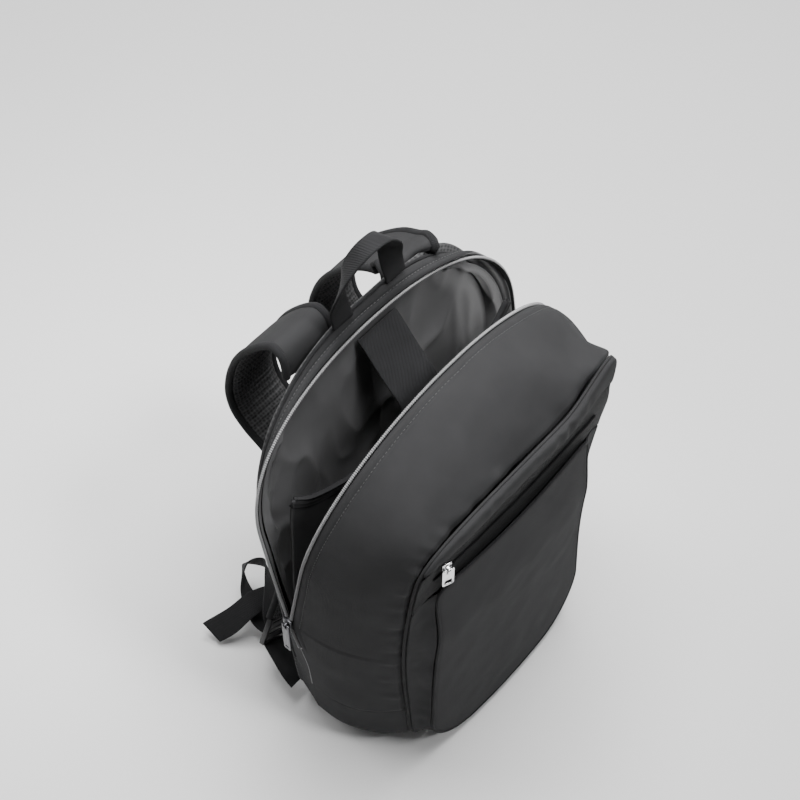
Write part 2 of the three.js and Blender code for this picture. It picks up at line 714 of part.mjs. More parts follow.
function tailWeb(sideSizes) {
  const { side } = sideSizes;
  const { at, down, across, out } = lockFrame(sideSizes);
  const root = at.clone().addScaledVector(down, lockHeight / 2)
    .addScaledVector(out, (lockThick + webThick) / 2 + clearance);
  const rise = root.clone().addScaledVector(down, -lockHeight / 3).addScaledVector(out, lockHeight / 4);
  const turn = across.clone().multiplyScalar(Math.sign(across.x) * side);
  const start = [root, rise].map((p) => ({ at: p, across: turn.clone(), width: webWidth }));
  const rest = tailRun.map((row) => ({
    at: point(side * row.out * bagWidth, row.back * baseDepth, row.up * bagHeight),
    across: point(side * row.turn[0], row.turn[1], row.turn[2]).normalize(),
    width: webWidth,
  }));
  return ribbon(smoothRun([...start, ...rest], 38), webThick);
}

// The grab handle: two flat feet on the rear band, turning a quarter on the way up.
// across is a share of half the span, rise and lean of the rise.
const handleRun = [
  { across: -1, rise: 0, lean: 0, turn: 0 },
  { across: -1.08, rise: 0.24, lean: 0.02, turn: 8 },
  { across: -1.14, rise: 0.52, lean: -0.03, turn: 30 },
  { across: -1, rise: 0.79, lean: -0.08, turn: 58 },
  { across: -0.62, rise: 0.97, lean: -0.14, turn: 80 },
  { across: -0.22, rise: 1, lean: -0.16, turn: 90 },
  { across: 0.1, rise: 0.93, lean: -0.14, turn: 100 },
  { across: 0.4, rise: 0.76, lean: -0.1, turn: 122 },
  { across: 0.7, rise: 0.5, lean: -0.03, turn: 150 },
  { across: 0.9, rise: 0.24, lean: 0.02, turn: 172 },
  { across: 1, rise: 0, lean: 0, turn: 180 },
];
function grabHandle() {
  const seat = topOfRearBand(handleSpan / 2 + handleWidth / 2);
  const rows = handleRun.map((row) => {
    const turn = THREE.MathUtils.degToRad(row.turn);
    return {
      at: point(
        row.across * handleSpan / 2 + handleAside,
        seat.y + row.lean * handleRise,
        seat.z + row.rise * handleRise,
      ),
      across: point(Math.cos(turn), Math.sin(turn), 0),
      width: mix(handleWidth, handleWidth * 0.72, Math.sin(turn) ** 2),
    };
  });
  return ribbon(smoothRun(rows, 26), handleThick);
}

// The rear band's outside near its top, where the handle's feet stand
function topOfRearBand(x) {
  const away = (place) => Math.abs(rearBand(place, 0, 0, 0.15).x - x);
  const place = placesBetween(5, 6).reduce((best, next) => (away(next) < away(best) ? next : best));
  const seat = rearBand(place, 0, 0, 0.15);
  const crown = rearBand(6, 0, 0, 0.15);
  return point(x, seat.y, crown.z + clearance + 0.6);
}

// Joined solids
function solidOf(geometry) {
  const bare = geometry.clone();
  bare.deleteAttribute('normal');
  bare.deleteAttribute('uv');
  const merged = mergeVertices(bare, 1e-4);
  return new wasm.Manifold(new wasm.Mesh({
    numProp: 3,
    vertProperties: new Float32Array(merged.attributes.position.array),
    triVerts: new Uint32Array(merged.index.array),
  }));
}
function geometryOf(solid) {
  const mesh = solid.getMesh();
  const geometry = new THREE.BufferGeometry();
  geometry.setAttribute('position', new THREE.BufferAttribute(new Float32Array(mesh.vertProperties), 3));
  geometry.setIndex(new THREE.BufferAttribute(new Uint32Array(mesh.triVerts), 1));
  geometry.computeVertexNormals();
  return geometry;
}

// A slider in its own frame: its plate against the tape, +Z out of the bag, +Y up the pull's swing
// plane. The pull's bar runs under the bridge, and both ends of the bar lie clear of it.
const barThick = pullThick;
const barReach = barThick * Math.SQRT1_2 + clearance;
const barHeight = sliderThick + barReach;
function slider(width) {
  const plate = new THREE.BoxGeometry(width, sliderLength, sliderThick).translate(0, 0, sliderThick / 2);
  const inner = barReach;
  const bridge = new THREE.Shape();
  bridge.moveTo(-inner - 1.4, -1);
  bridge.lineTo(-inner - 1.4, barHeight - sliderThick + inner + 0.2);
  bridge.lineTo(-inner, barHeight - sliderThick + inner + 1.2);
  bridge.lineTo(inner, barHeight - sliderThick + inner + 1.2);
  bridge.lineTo(inner + 1.4, barHeight - sliderThick + inner + 0.2);
  bridge.lineTo(inner + 1.4, -1);
  bridge.lineTo(inner, -1);
  bridge.lineTo(inner, barHeight - sliderThick + inner);
  bridge.lineTo(-inner, barHeight - sliderThick + inner);
  bridge.lineTo(-inner, -1);
  bridge.closePath();
  const arch = new THREE.ExtrudeGeometry(bridge, { depth: 2.4, bevelEnabled: false });
  arch.rotateX(Math.PI / 2).rotateZ(Math.PI / 2).translate(-1.2, 0, sliderThick);
  return geometryOf(solidOf(plate).add(solidOf(arch)));
}

// A pull hanging from its bar, in the slider's frame: the bar's middle is at the origin
function pull(width, length, slotShare) {
  const outline = new THREE.Shape();
  outline.moveTo(-width / 2, barThick / 2);
  outline.lineTo(width / 2, barThick / 2);
  outline.lineTo(width / 2, -length + 1.5);
  outline.lineTo(width / 2 - 1.5, -length);
  outline.lineTo(-width / 2 + 1.5, -length);
  outline.lineTo(-width / 2, -length + 1.5);
  outline.closePath();
  const windows = [
    { half: 1.2 + clearance + 0.3, high: -barThick / 2, low: -barThick / 2 - 4 },
    { half: width * 0.22, high: -length * slotShare, low: -length * slotShare - 1.8 },
  ];
  for (const { half, high, low } of windows) {
    const hole = new THREE.Path();
    hole.moveTo(-half, high);
    hole.lineTo(-half, low);
    hole.lineTo(half, low);
    hole.lineTo(half, high);
    hole.closePath();
    outline.holes.push(hole);
  }
  const geometry = new THREE.ExtrudeGeometry(outline, { depth: barThick, bevelEnabled: false });
  return geometry.translate(0, 0, -barThick / 2);
}

// Where each slider sits: its place on the tape, and the way its frame faces
function mainSliderSeat(side) {
  const out = point(side, 0, 0);
  const x = halfWidthAt(outlines.rearRim, zipEnd) + clearance * 4;
  return { at: point(side * x, rimMeeting, zipEnd + 1), out };
}
function pocketSliderSeat() {
  const z = hoodLow - pocketSliderDrop;
  const facing = THREE.MathUtils.degToRad(21);
  const out = point(-Math.sin(facing), -Math.cos(facing), 0);
  return { at: point(pocketSliderX, wallFace(z) - clearance - zipStripThick - 3.4, z), out };
}

// Materials
const finish = (color, roughness, metalness = 0) => (
  new THREE.MeshStandardMaterial({ color, roughness, metalness }));
const shellCloth = finish(0x1b1b1d, 0.85);
const liningCloth = finish(0x17171a, 0.55);
const webbing = finish(0x1f1f21, 0.8);
const tapeCloth = finish(0x141416, 0.6);
const airMesh = finish(0x101012, 0.9);
const hardPlastic = finish(0x0e0e10, 0.45);
const gunmetal = finish(0x55565a, 0.35, 0.9);
const silver = finish(0xd8d9dc, 0.22, 1);

const bag = new THREE.Group();
function addPiece(name, geometry, material) {
  const mesh = new THREE.Mesh(geometry, material);
  mesh.name = name;
  bag.add(mesh);
  return mesh;
}

addPiece('back_panel', backPanel(), shellCloth);
addPiece('rear_gusset', rearGusset(), shellCloth);
addPiece('lining', lining(), liningCloth);
addPiece('front_shell', frontShell(), shellCloth);
addPiece('base_gusset', baseGusset(), shellCloth);
addPiece('front_wall', frontWall(), shellCloth);
addPiece('hood_band', hoodBand(), shellCloth);
addPiece('pocket_zip_strip', pocketZipStrip(), tapeCloth);
addPiece('pocket_front', pocketFront(), shellCloth);
addPiece('pocket_gusset', pocketGusset(), shellCloth);
addPiece('rear_zip_tape', rearZipTape(), tapeCloth);
addPiece('front_zip_tape', frontZipTape(), tapeCloth);
addPiece('laptop_divider', laptopDivider(), liningCloth);
addPiece('laptop_tab', laptopTab(), webbing);
addPiece('grab_handle', grabHandle(), webbing);

for (const [name, sizes] of Object.entries(strapSides)) {
  addPiece(`zip_foot_${name}`, zipFootPiece(sizes.side), tapeCloth);
  addPiece(`strap_${name}`, strap(sizes), shellCloth);
  addPiece(`strap_mesh_${name}`, strapMesh(sizes), airMesh);
  addPiece(`ladder_lock_${name}`, placedLock(sizes), hardPlastic);
  addPiece(`lower_web_${name}`, lowerWeb(sizes), webbing);
  addPiece(`tail_web_${name}`, tailWeb(sizes), webbing);
}

// A slider and its pull, turned about the vertical to face out of the bag
function addSlider(sliderName, pullName, seat, width, pullGeometry, material) {
  const place = new THREE.Group();
  place.position.copy(seat.at);
  const up = point(0, 0, 1);
  const turn = new THREE.Matrix4().makeBasis(up.clone().cross(seat.out), up, seat.out);
  place.quaternion.setFromRotationMatrix(turn);
  bag.add(place);
  const body = new THREE.Mesh(slider(width), material);
  body.name = sliderName;
  const handle = new THREE.Mesh(pullGeometry, material);
  handle.name = pullName;
  handle.position.set(0, 0, barHeight);
  place.add(body, handle);
}
for (const [name, { side }] of Object.entries(strapSides)) {
  addSlider(`main_slider_${name}`, `main_pull_${name}`, mainSliderSeat(side), sliderWidth,
    pull(mainPullWidth, mainPullLength, 0.86), gunmetal);
}
addSlider('pocket_slider', 'pocket_pull', pocketSliderSeat(), sliderWidth * 0.9,
  pull(pocketPullWidth, pocketPullLength, 0.72), silver);

export default bag;
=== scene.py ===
import math

import bpy
import numpy as np
from mathutils import Matrix, Vector


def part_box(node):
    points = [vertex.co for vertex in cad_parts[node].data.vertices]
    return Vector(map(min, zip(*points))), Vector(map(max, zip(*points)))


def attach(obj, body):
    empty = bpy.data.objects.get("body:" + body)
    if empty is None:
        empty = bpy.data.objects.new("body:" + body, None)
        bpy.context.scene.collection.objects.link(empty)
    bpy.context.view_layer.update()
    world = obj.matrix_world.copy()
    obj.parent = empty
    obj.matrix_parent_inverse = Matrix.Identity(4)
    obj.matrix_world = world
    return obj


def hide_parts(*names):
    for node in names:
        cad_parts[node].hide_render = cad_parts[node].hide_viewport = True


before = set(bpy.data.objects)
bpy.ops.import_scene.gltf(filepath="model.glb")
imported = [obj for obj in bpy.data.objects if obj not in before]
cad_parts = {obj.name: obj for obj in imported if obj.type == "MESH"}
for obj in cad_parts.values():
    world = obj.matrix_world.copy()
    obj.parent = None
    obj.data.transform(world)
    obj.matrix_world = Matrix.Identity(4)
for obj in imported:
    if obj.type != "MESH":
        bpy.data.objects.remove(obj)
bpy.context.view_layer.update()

bl_info = {
    "name": "Laptop backpack",
    "version": (1, 0, 0),
    "blender": (4, 5, 0),
    "location": "View3D > Sidebar > Backpack",
    "description": "A soft laptop backpack standing with its main zipper open",
    "category": "Add Mesh",
}


def length(name, description, millimetres):
    """A length property, given in millimetres and kept in metres."""
    return bpy.props.FloatProperty(
        name=name, description=description, default=millimetres / 1000, unit="LENGTH"
    )


def colour(name, description, value):
    """A colour property from three linear values."""
    return bpy.props.FloatVectorProperty(
        name=name, description=description, default=value, subtype="COLOR", size=3, min=0, max=1
    )


class BackpackSizes(bpy.types.PropertyGroup):
    """The sizes that the pieces are worked out from"""

    width: length("Width", "Width of the bag", 328)
    height: length("Height", "Height of the back panel", 441)
    depth: length("Base depth", "Depth of the base", 112)
    zip_end: length("Slider height", "Height at which the open zipper's sliders stop", 191)
    zip_foot: length("Zipper foot", "Height at which the zipper ends", 150)
    tape: length("Zipper tape", "Width of the tape and coil that show beside the cloth", 3.9)
    coil: length("Coil", "Width of a zipper's coil", 3)
    tooth: length("Tooth", "Length of one tooth of the coil", 1.9)
    cloth: length("Cloth", "Thickness of the cloth walls", 2.4)
    divider: length("Divider height", "Height of the laptop sleeve's front", 345)
    strap: length("Strap width", "Width of a shoulder strap at the shoulder", 58)
    strap_end: length("Strap end width", "Width of a shoulder strap at its adjuster", 46)
    strap_reach: length("Strap reach", "How far a strap stands behind the back panel", 70)
    webbing: length("Webbing width", "Width of the adjusting webbing", 25)
    handle: length("Handle width", "Width of the handle's webbing", 23)
    tab: length("Tab width", "Width of the tab over the laptop sleeve", 46)


class BackpackColours(bpy.types.PropertyGroup):
    """The colours of the finishes"""

    shell: colour("Shell", "Woven polyester of the outside", (0.029, 0.029, 0.03))
    # Sleeve: the lining's nylon darkened to about a third, painted shade for the divider standing in shadow
    sleeve: colour("Sleeve", "Nylon of the laptop sleeve", (0.03, 0.03, 0.031))
    lining: colour("Lining", "Nylon of the inside", (0.1, 0.1, 0.102))
    webbing: colour("Webbing", "Straps, handle, tab and edge binding", (0.017, 0.017, 0.018))
    tape: colour("Zipper tape", "Tapes of the zippers", (0.008, 0.008, 0.0085))
    # Coil: lighter than the coil's own dark grey, a painted highlight along the teeth
    coil: colour("Zipper coil", "Coils of the zippers", (0.2, 0.2, 0.203))
    mesh: colour("Mesh", "Underside of the straps and the back", (0.05, 0.05, 0.051))
    thread: colour("Thread", "Top stitching", (0.06, 0.06, 0.061))
    plastic: colour("Plastic", "Strap adjusters", (0.012, 0.012, 0.013))
    gunmetal: colour("Dark metal", "Sliders and pulls of the main zipper", (0.07, 0.07, 0.075))
    silver: colour("Bright metal", "Slider and pull of the pocket", (0.86, 0.86, 0.87))


# Half-width at the shoulder and at the base and the corner's radius as shares of the width, then
# top, shoulder and floor as shares of the height, then how square the arch is on the left and on
# the right, and how far the right shoulder is raised, as a share of the height
OUTLINES = {
    "back": (0.447, 0.43, 0.122, 1, 0.66, 0.005, 2.25, 2.25, 0),
    "rear_rim": (0.497, 0.458, 0.128, 0.96, 0.71, 0, 2.2, 2.2, 0),
    "front_rim": (0.482, 0.458, 0.128, 0.989, 0.636, 0, 2.08, 2.08, 0),
    "front_seam": (0.373, 0.354, 0.137, 0.864, 0.725, 0.016, 3.6, 7, 0.036),
    "pocket": (0.29, 0.32, 0.16, 0.7, 0.62, 0.03, 6, 6, 0),
}
# How far the front and the pocket slump sideways, and the hood's depth below the front seam, in mm
FRONT_SHIFT = -8
POCKET_SHIFT = -12
HOOD_DROP = 28
# Where the base meets the sides and the pocket's side ends, in places along an outline
BASE_SPLIT = 2.35
POCKET_SEAM_END = 5.35
# How far the pocket's pull is turned from the front, in degrees
PULL_TURN = 21
SKIN_FULLNESS = 1.06
# Distances of the tape's rows from the rim, in mm
TAPE_STEPS = (4.6, 3.8, 3.1, 2.4, 1.6, 0.9)
# Half-width of the pull's slot in mm, and how much wider and higher it is made
SLOT_HALF = 2.31
SLOT_WIDER = 1.42
SLOT_HIGHER = 3


def mm(name):
    """A size in millimetres."""
    return getattr(bpy.context.scene.backpack_sizes, name) * 1000


def mix(a, b, share):
    return a + (b - a) * share


def smooth(share):
    """Rises from 0 to 1 with level ends."""
    s = np.clip(share, 0, 1)
    return s * s * (3 - 2 * s)


def bump_at(distance, width):
    """A bell of height 1 over a distance."""
    return np.exp(-((distance / width) ** 2))


def measures(outline):
    """An outline's sizes in millimetres and its two powers."""
    half, foot, corner, top, shoulder, floor, power, right_power, lift = outline
    w, h = mm("width"), mm("height")
    sizes = (half * w, foot * w, corner * w, top * h, shoulder * h, floor * h)
    return *sizes, power, right_power, lift * h


def half_width(outline, z):
    """Half the outline's width at a height: a round corner, a sine up to the shoulder, then a
    superellipse."""
    half, foot, corner, top, shoulder, floor, power, *_ = measures(outline)
    up = z - floor
    low = foot - corner + np.sqrt(np.clip(corner**2 - (corner - up) ** 2, 0, None))
    share = np.clip((up - corner) / (shoulder - floor - corner), 0, 1)
    side = mix(foot, half, np.sin(share * np.pi / 2))
    arch = np.clip((z - shoulder) / (top - shoulder), 0, 1)
    high = half * (1 - arch**power) ** (1 / power)
    return np.where(up < corner, low, np.where(z <= shoulder, side, high))


def outline_at(outline, place):
    """x and z at a place: 0 the base's middle, 1 and 2 its corner, 3 and 4 the zipper's foot and
    end, 5 the shoulder and 6 the top, negative on the left."""
    half, foot, corner, top, shoulder, floor, power, right_power, lift = measures(outline)
    power = np.where(place > 0, right_power, power)
    at = np.abs(place)
    turn = np.clip(at - 1, 0, 1) * np.pi / 2
    base_x = np.where(at <= 1, (foot - corner) * at, foot - corner + corner * np.sin(turn))
    base_z = floor + corner * (1 - np.cos(turn))
    side_z = mix(floor + corner, mm("zip_foot"), np.clip(at - 2, 0, 1))
    side_z = np.where(at > 3, mix(mm("zip_foot"), mm("zip_end"), at - 3), side_z)
    side_z = np.where(at > 4, mix(mm("zip_end"), shoulder, at - 4), side_z)
    arch = np.clip(at - 5, 0, 1) * np.pi / 2
    arch_x = half * np.clip(np.cos(arch), 0, 1) ** (2 / power)
    arch_z = mix(shoulder, top, np.sin(arch) ** (2 / power))
    arch_z = arch_z + np.where(place > 0, lift * np.sin(arch * 2) ** 2, 0)
    x = np.where(at <= 2, base_x, np.where(at <= 5, half_width(outline, side_z), arch_x))
    z = np.where(at <= 2, base_z, np.where(at <= 5, side_z, arch_z))
    return np.where(place < 0, -x, x), z


def blended(a, b, share, floor_share):
    """An outline between two, with its floor blended on its own."""
    values = [mix(one, other, share) for one, other in zip(a, b)]
    values[5] = mix(a[5], b[5], floor_share)
    return values


def even_places(outline, start, end, count):
    """Places from start to end with equal steps along the outline."""
    rough = np.linspace(start, end, 4000)
    x, z = outline_at(OUTLINES[outline], rough)
    run = np.concatenate([[0], np.cumsum(np.hypot(np.diff(x), np.diff(z)))])
    return np.interp(np.linspace(0, run[-1], count), run, rough)


def arch_places(outline, end, count):
    """Places from one side's end over the top to the other side's, with equal steps."""
    half = even_places(outline, end, 6.0, count // 2 + 1)
    return np.concatenate([-half, half[::-1][1:]])


def back_depth(z):
    return mm("depth") * 0.52 + 0.086 * z


def rim_meeting():
    return mm("depth") * 0.42


def side_seam_depth(z):
    foot, end = mm("zip_foot") - 42, mm("zip_end")
    return mix(mm("depth") * 0.3, rim_meeting(), smooth((z - foot) / (end - foot)))


def rim_depth(z, lean):
    return np.where(z < mm("zip_end"), side_seam_depth(z), rim_meeting() + lean * (z - mm("zip_end")))


def front_seam_depth(z):
    rise = np.clip(z / mm("height") - 0.27, 0, None) / 0.594
    return -mm("depth") * (0.437 + 0.205 * rise**2)


def wall_face(z):
    return front_seam_depth(z) - 2.5


def pocket_face(z):
    return wall_face(z) - mix(20, 8, smooth((z / mm("height") - 0.5) / 0.2))


def slump(shift, z, x):
    """How far the front leans to the left at a height, less on the right."""
    return shift * smooth(z / (mm("height") * 0.55)) * mix(1, 0.4, smooth(x / mm("width") * 2.5 + 0.3))


def stack(x, y, z):
    return np.stack(np.broadcast_arrays(x, y, z), -1).astype(float)


def back_seam(place):
    x, z = outline_at(OUTLINES["back"], place)
    return stack(x, back_depth(z) - 0.3, z)


def rear_rim(place):
    x, z = outline_at(OUTLINES["rear_rim"], place)
    return stack(x, rim_depth(z, 0.167), z)


def front_skin(place, share):
    """The skin in front of the zipper: from the rim (0) to the front seam (1), full in between."""
    floor_share = (np.clip(share - 0.72, 0, None) / 0.28) ** 1.5
    at = np.abs(place)
    rim = [np.where(at <= 4, a, b) for a, b in zip(OUTLINES["rear_rim"], OUTLINES["front_rim"])]
    right = smooth(place - 4) * (1 - smooth((place - 5.6) / 0.4))
    blend = share ** mix(2.4, 1.3, right)
    x, z = outline_at(blended(rim, OUTLINES["front_seam"], blend, floor_share), place)
    rear = half_width(OUTLINES["rear_rim"], mm("zip_end"))
    meeting = rear - half_width(OUTLINES["front_rim"], mm("zip_end"))
    ease = np.where((at > 4) & (at < 5), 5 - at, 0)
    x = x + np.sign(x) * meeting * ease * (1 - share) + slump(FRONT_SHIFT, z, x) * share**2
    skin = stack(x, mix(rim_depth(z, -0.167), front_seam_depth(z), share), z)
    return corner_pull(skin, share**2)


def skin_span(places):
    """Length of the front skin from its rim to its seam: the chord, and a share for its fullness."""
    ends = np.ones((1,) * np.ndim(places))
    chord = front_skin(places, ends) - front_skin(places, ends * 0)
    return SKIN_FULLNESS * np.linalg.norm(chord, axis=-1)


def band_span(places):
    return np.linalg.norm(rear_rim(places) - back_seam(places), axis=-1)


def corner_pull(points, share=1.0):
    """The front's right shoulder, pulled back and up by the stiff edge of the open zipper."""
    side = smooth((points[..., 0] - 40) / 70)
    amount = side * smooth((points[..., 2] / mm("height") - 0.74) / 0.12) * share
    hollow = 6.75 * share * (1 - share) ** 2 * side
    hollow = hollow * smooth((points[..., 2] / mm("height") - 0.78) / 0.1)
    moved = points + amount[..., None] * np.array([2.0, 7.0, 4.0])
    return moved + hollow[..., None] * np.array([-5.0, 4.0, -15.0])


def rear_band(place, share):
    return mix(back_seam(place), rear_rim(place), share[..., None])


def soft_noise(points, cell, seed):
    """Smooth lumps from -1 to 1: random values on a cubic lattice, joined by smooth curves."""
    lattice = np.random.default_rng(seed).uniform(-1, 1, (32, 32, 32))
    at = points / cell + 500
    base = np.floor(at).astype(int)
    part = at - base
    part = part * part * (3 - 2 * part)
    total = 0
    for i in (0, 1):
        for j in (0, 1):
            for k in (0, 1):
                weight = np.abs(1 - i - part[..., 0]) * np.abs(1 - j - part[..., 1])
                weight = weight * np.abs(1 - k - part[..., 2])
                total = total + weight * lattice[
                    (base[..., 0] + i) % 32, (base[..., 1] + j) % 32, (base[..., 2] + k) % 32
                ]
    return total


def creases(points, cell, seed, stretch=(1, 1, 1)):
    """Sharp ridges from 0 to 1, where the lumps pass through nought, longer along a stretch."""
    return (1 - np.abs(soft_noise(points / np.array(stretch), cell, seed))) ** 4


def facing(points, away=None):
    """The way each point of a grid faces: the cross product of its two directions, turned away
    from a point."""
    along = np.gradient(points, axis=0)
    across = np.gradient(points, axis=1)
    normal = np.cross(along, across)
    normal /= np.maximum(np.linalg.norm(normal, axis=-1, keepdims=True), 1e-9)
    if away is not None:
        turned = np.sum(normal * (points - np.array(away)), axis=-1)
        normal *= np.sign(np.sum(turned)) or 1
    return normal


HEART = (0, 0, 198)


def grid_faces(rows, columns, wrap_rows=False, wrap_columns=False):
    """Four-cornered faces of a grid as vertex numbers, and the same faces numbered on a grid that
    repeats its first row and column, for the flat map."""
    r, c = np.meshgrid(
        np.arange(rows - (not wrap_rows)), np.arange(columns - (not wrap_columns)), indexing="ij"
    )
    corners = [(r, c), (r, c + 1), (r + 1, c + 1), (r + 1, c)]
    faces = np.stack([(a % rows) * columns + b % columns for a, b in corners], -1).reshape(-1, 4)
    wide = columns + wrap_columns
    flat = np.stack([a * wide + b for a, b in corners], -1).reshape(-1, 4)
    return faces, flat


def run_of(points, axis):
    """Distance travelled along one axis of a grid, averaged over the other."""
    step = np.linalg.norm(np.diff(points, axis=axis), axis=-1).mean(axis=1 - axis)
    return np.concatenate([[0], np.cumsum(step)])


def make_object(name, points, faces, corner_map, materials, kinds=None):
    """A mesh object at the origin from points in millimetres, faces of three or four corners and
    a flat map in millimetres."""
    mesh = bpy.data.meshes.new(name)
    groups = faces if isinstance(faces, list) else [faces]
    corners = np.concatenate([group.ravel() for group in groups])
    sizes = np.concatenate([np.full(len(group), group.shape[1]) for group in groups])
    mesh.vertices.add(len(points))
    mesh.vertices.foreach_set("co", (points * 0.001).astype(np.float32).ravel())
    mesh.loops.add(len(corners))
    mesh.loops.foreach_set("vertex_index", corners.astype(np.int32))
    mesh.polygons.add(len(sizes))
    mesh.polygons.foreach_set("loop_start", np.concatenate([[0], np.cumsum(sizes)[:-1]]).astype(np.int32))
    mesh.polygons.foreach_set("use_smooth", np.ones(len(sizes), bool))
    if kinds is not None:
        mesh.polygons.foreach_set("material_index", kinds.astype(np.int32))
    mesh.update(calc_edges=True)
    flat = mesh.uv_layers.new(name="flat")
    flat.data.foreach_set("uv", (corner_map * 0.001).astype(np.float32).ravel())
    mesh.validate()
    for material in materials:
        mesh.materials.append(material)
    made = bpy.data.objects.new(name, mesh)
    bpy.context.scene.collection.objects.link(made)
    return made


def outward(points, faces):
    """Faces turned so that the closed body's volume is positive."""
    a, b, c, d = (points[faces[:, k]] for k in range(4))
    volume = np.sum(a * np.cross(b, c)) + np.sum(a * np.cross(c, d))
    return faces if volume > 0 else faces[:, ::-1]


def wall(name, sheet, thickness, materials, normal=None, rounding=0.35):
    """A cloth wall from a sheet of points: the sheet, the same sheet moved inwards by a thickness,
    rounded long edges between them and closed ends. The first material is the outside's."""
    rows, columns = sheet.shape[:2]
    normal = facing(sheet, HEART) if normal is None else normal
    inner = sheet - normal * thickness
    first = sheet[:1] - sheet[1:2]
    last = sheet[-1:] - sheet[-2:-1]
    round_first = (sheet[:1] + inner[:1]) / 2 + unit(first) * thickness * rounding
    round_last = (sheet[-1:] + inner[-1:]) / 2 + unit(last) * thickness * rounding
    rings = np.concatenate([sheet, round_last, inner[::-1], round_first])
    count = len(rings)
    points = rings.reshape(-1, 3)
    faces, flat = grid_faces(count, columns, wrap_rows=True)
    down = run_of(np.concatenate([rings, rings[:1]]), 0)
    along = run_of(sheet, 1)
    table = stack(along[None, :], down[:, None], 0)[..., :2].reshape(-1, 2)
    kinds = np.repeat((np.arange(count) >= rows - 1).astype(int), columns - 1)
    if len(materials) == 1:
        kinds = kinds * 0
    caps = []
    for column in (0, columns - 1):
        outer_ids = np.arange(rows) * columns + column
        inner_ids = (2 * rows - np.arange(rows)) * columns + column
        quads = np.stack([outer_ids[:-1], outer_ids[1:], inner_ids[1:], inner_ids[:-1]], -1)
        caps.append(quads if column == 0 else quads[:, ::-1])
    ends = []
    for column, turn in ((0, 1), (columns - 1, -1)):
        for edge, ids in ((rows, (rows - 1, rows + 1)), (count - 1, (count - 2, 0))):
            corner = np.array([[edge, ids[0], ids[1]]]) * columns + column
            ends.append(corner[:, ::turn])
    cap = np.concatenate(caps)
    tri = np.concatenate(ends)
    every = np.concatenate([faces, cap])
    if not np.array_equal(outward(points, every), every):
        every = every[:, ::-1]
        flat = flat[:, ::-1]
        tri = tri[:, ::-1]
    cap_map = np.zeros((len(cap) * 4 + len(tri) * 3, 2))
    corner_map = np.concatenate([table[flat.ravel()], cap_map])
    kinds = np.concatenate([kinds, np.full(len(cap) + len(tri), min(1, len(materials) - 1))])
    return make_object(name, points, [every, tri], corner_map, materials, kinds)


def unit(vectors):
    return vectors / np.maximum(np.linalg.norm(vectors, axis=-1, keepdims=True), 1e-9)


def closed_body(name, rings, materials):
    """A body from rings of points: a grid that wraps round each ring, with a pole at both ends.
    The flat map runs along the body and round it."""
    count, size = rings.shape[:2]
    points = np.concatenate([rings.reshape(-1, 3), rings[:1].mean(1), rings[-1:].mean(1)])
    faces, flat = grid_faces(count, size, wrap_columns=True)
    around = run_of(np.concatenate([rings, rings[:, :1]], 1), 1)
    along = run_of(rings, 0)
    table = stack(along[:, None], around[None, :], 0)[..., :2].reshape(-1, 2)
    ids = np.arange(size)
    start = np.stack([np.full(size, count * size), (ids + 1) % size, ids], -1)
    end = np.stack([np.full(size, count * size + 1), ids, (ids + 1) % size], -1)
    end[:, 1:] += (count - 1) * size
    poles = np.concatenate([start, end])
    a, b, c, d = (points[faces[:, k]] for k in range(4))
    volume = np.sum(a * np.cross(b, c)) + np.sum(a * np.cross(c, d))
    p, q, r = (points[poles[:, k]] for k in range(3))
    volume += np.sum(p * np.cross(q, r))
    if volume < 0:
        faces, flat, poles = faces[:, ::-1], flat[:, ::-1], poles[:, ::-1]
    around_pole = table[:1].repeat(len(poles) * 3, 0)
    corner_map = np.concatenate([table[flat.ravel()], around_pole])
    return make_object(name, points, [faces, poles], corner_map, materials)


def frames_along(path, side):
    """For a path of points, its direction, the given side squared to it, and the way it faces."""
    ahead = unit(np.gradient(path, axis=0))
    side = unit(side - ahead * np.sum(side * ahead, -1, keepdims=True))
    return ahead, side, np.cross(ahead, side)


def swept(name, path, side, section, materials, scale=None):
    """A section carried along a path. section is (points, 2) across and out, scale widens it
    along the path."""
    _, side, out = frames_along(path, side)
    scale = np.ones((len(path), 2)) if scale is None else scale
    rings = (
        path[:, None]
        + side[:, None] * (section[None, :, 0] * scale[:, :1])[..., None]
        + out[:, None] * (section[None, :, 1] * scale[:, 1:])[..., None]
    )
    return closed_body(name, rings, materials)


def flat_section(width, thickness, steps=14):
    """A flat strip's section with rounded edges, going round."""
    turn = np.linspace(-np.pi / 2, np.pi / 2, 5)
    half = width / 2 - thickness / 2
    right = np.stack([half + np.cos(turn) * thickness / 2, np.sin(turn) * thickness / 2], -1)
    top = np.stack([np.linspace(half, -half, steps)[1:-1], np.full(steps - 2, thickness / 2)], -1)
    return np.concatenate([right, top, -right, -top])


def round_section(radius, count=8):
    turn = np.arange(count) / count * 2 * np.pi
    return np.stack([np.cos(turn), np.sin(turn)], -1) * radius


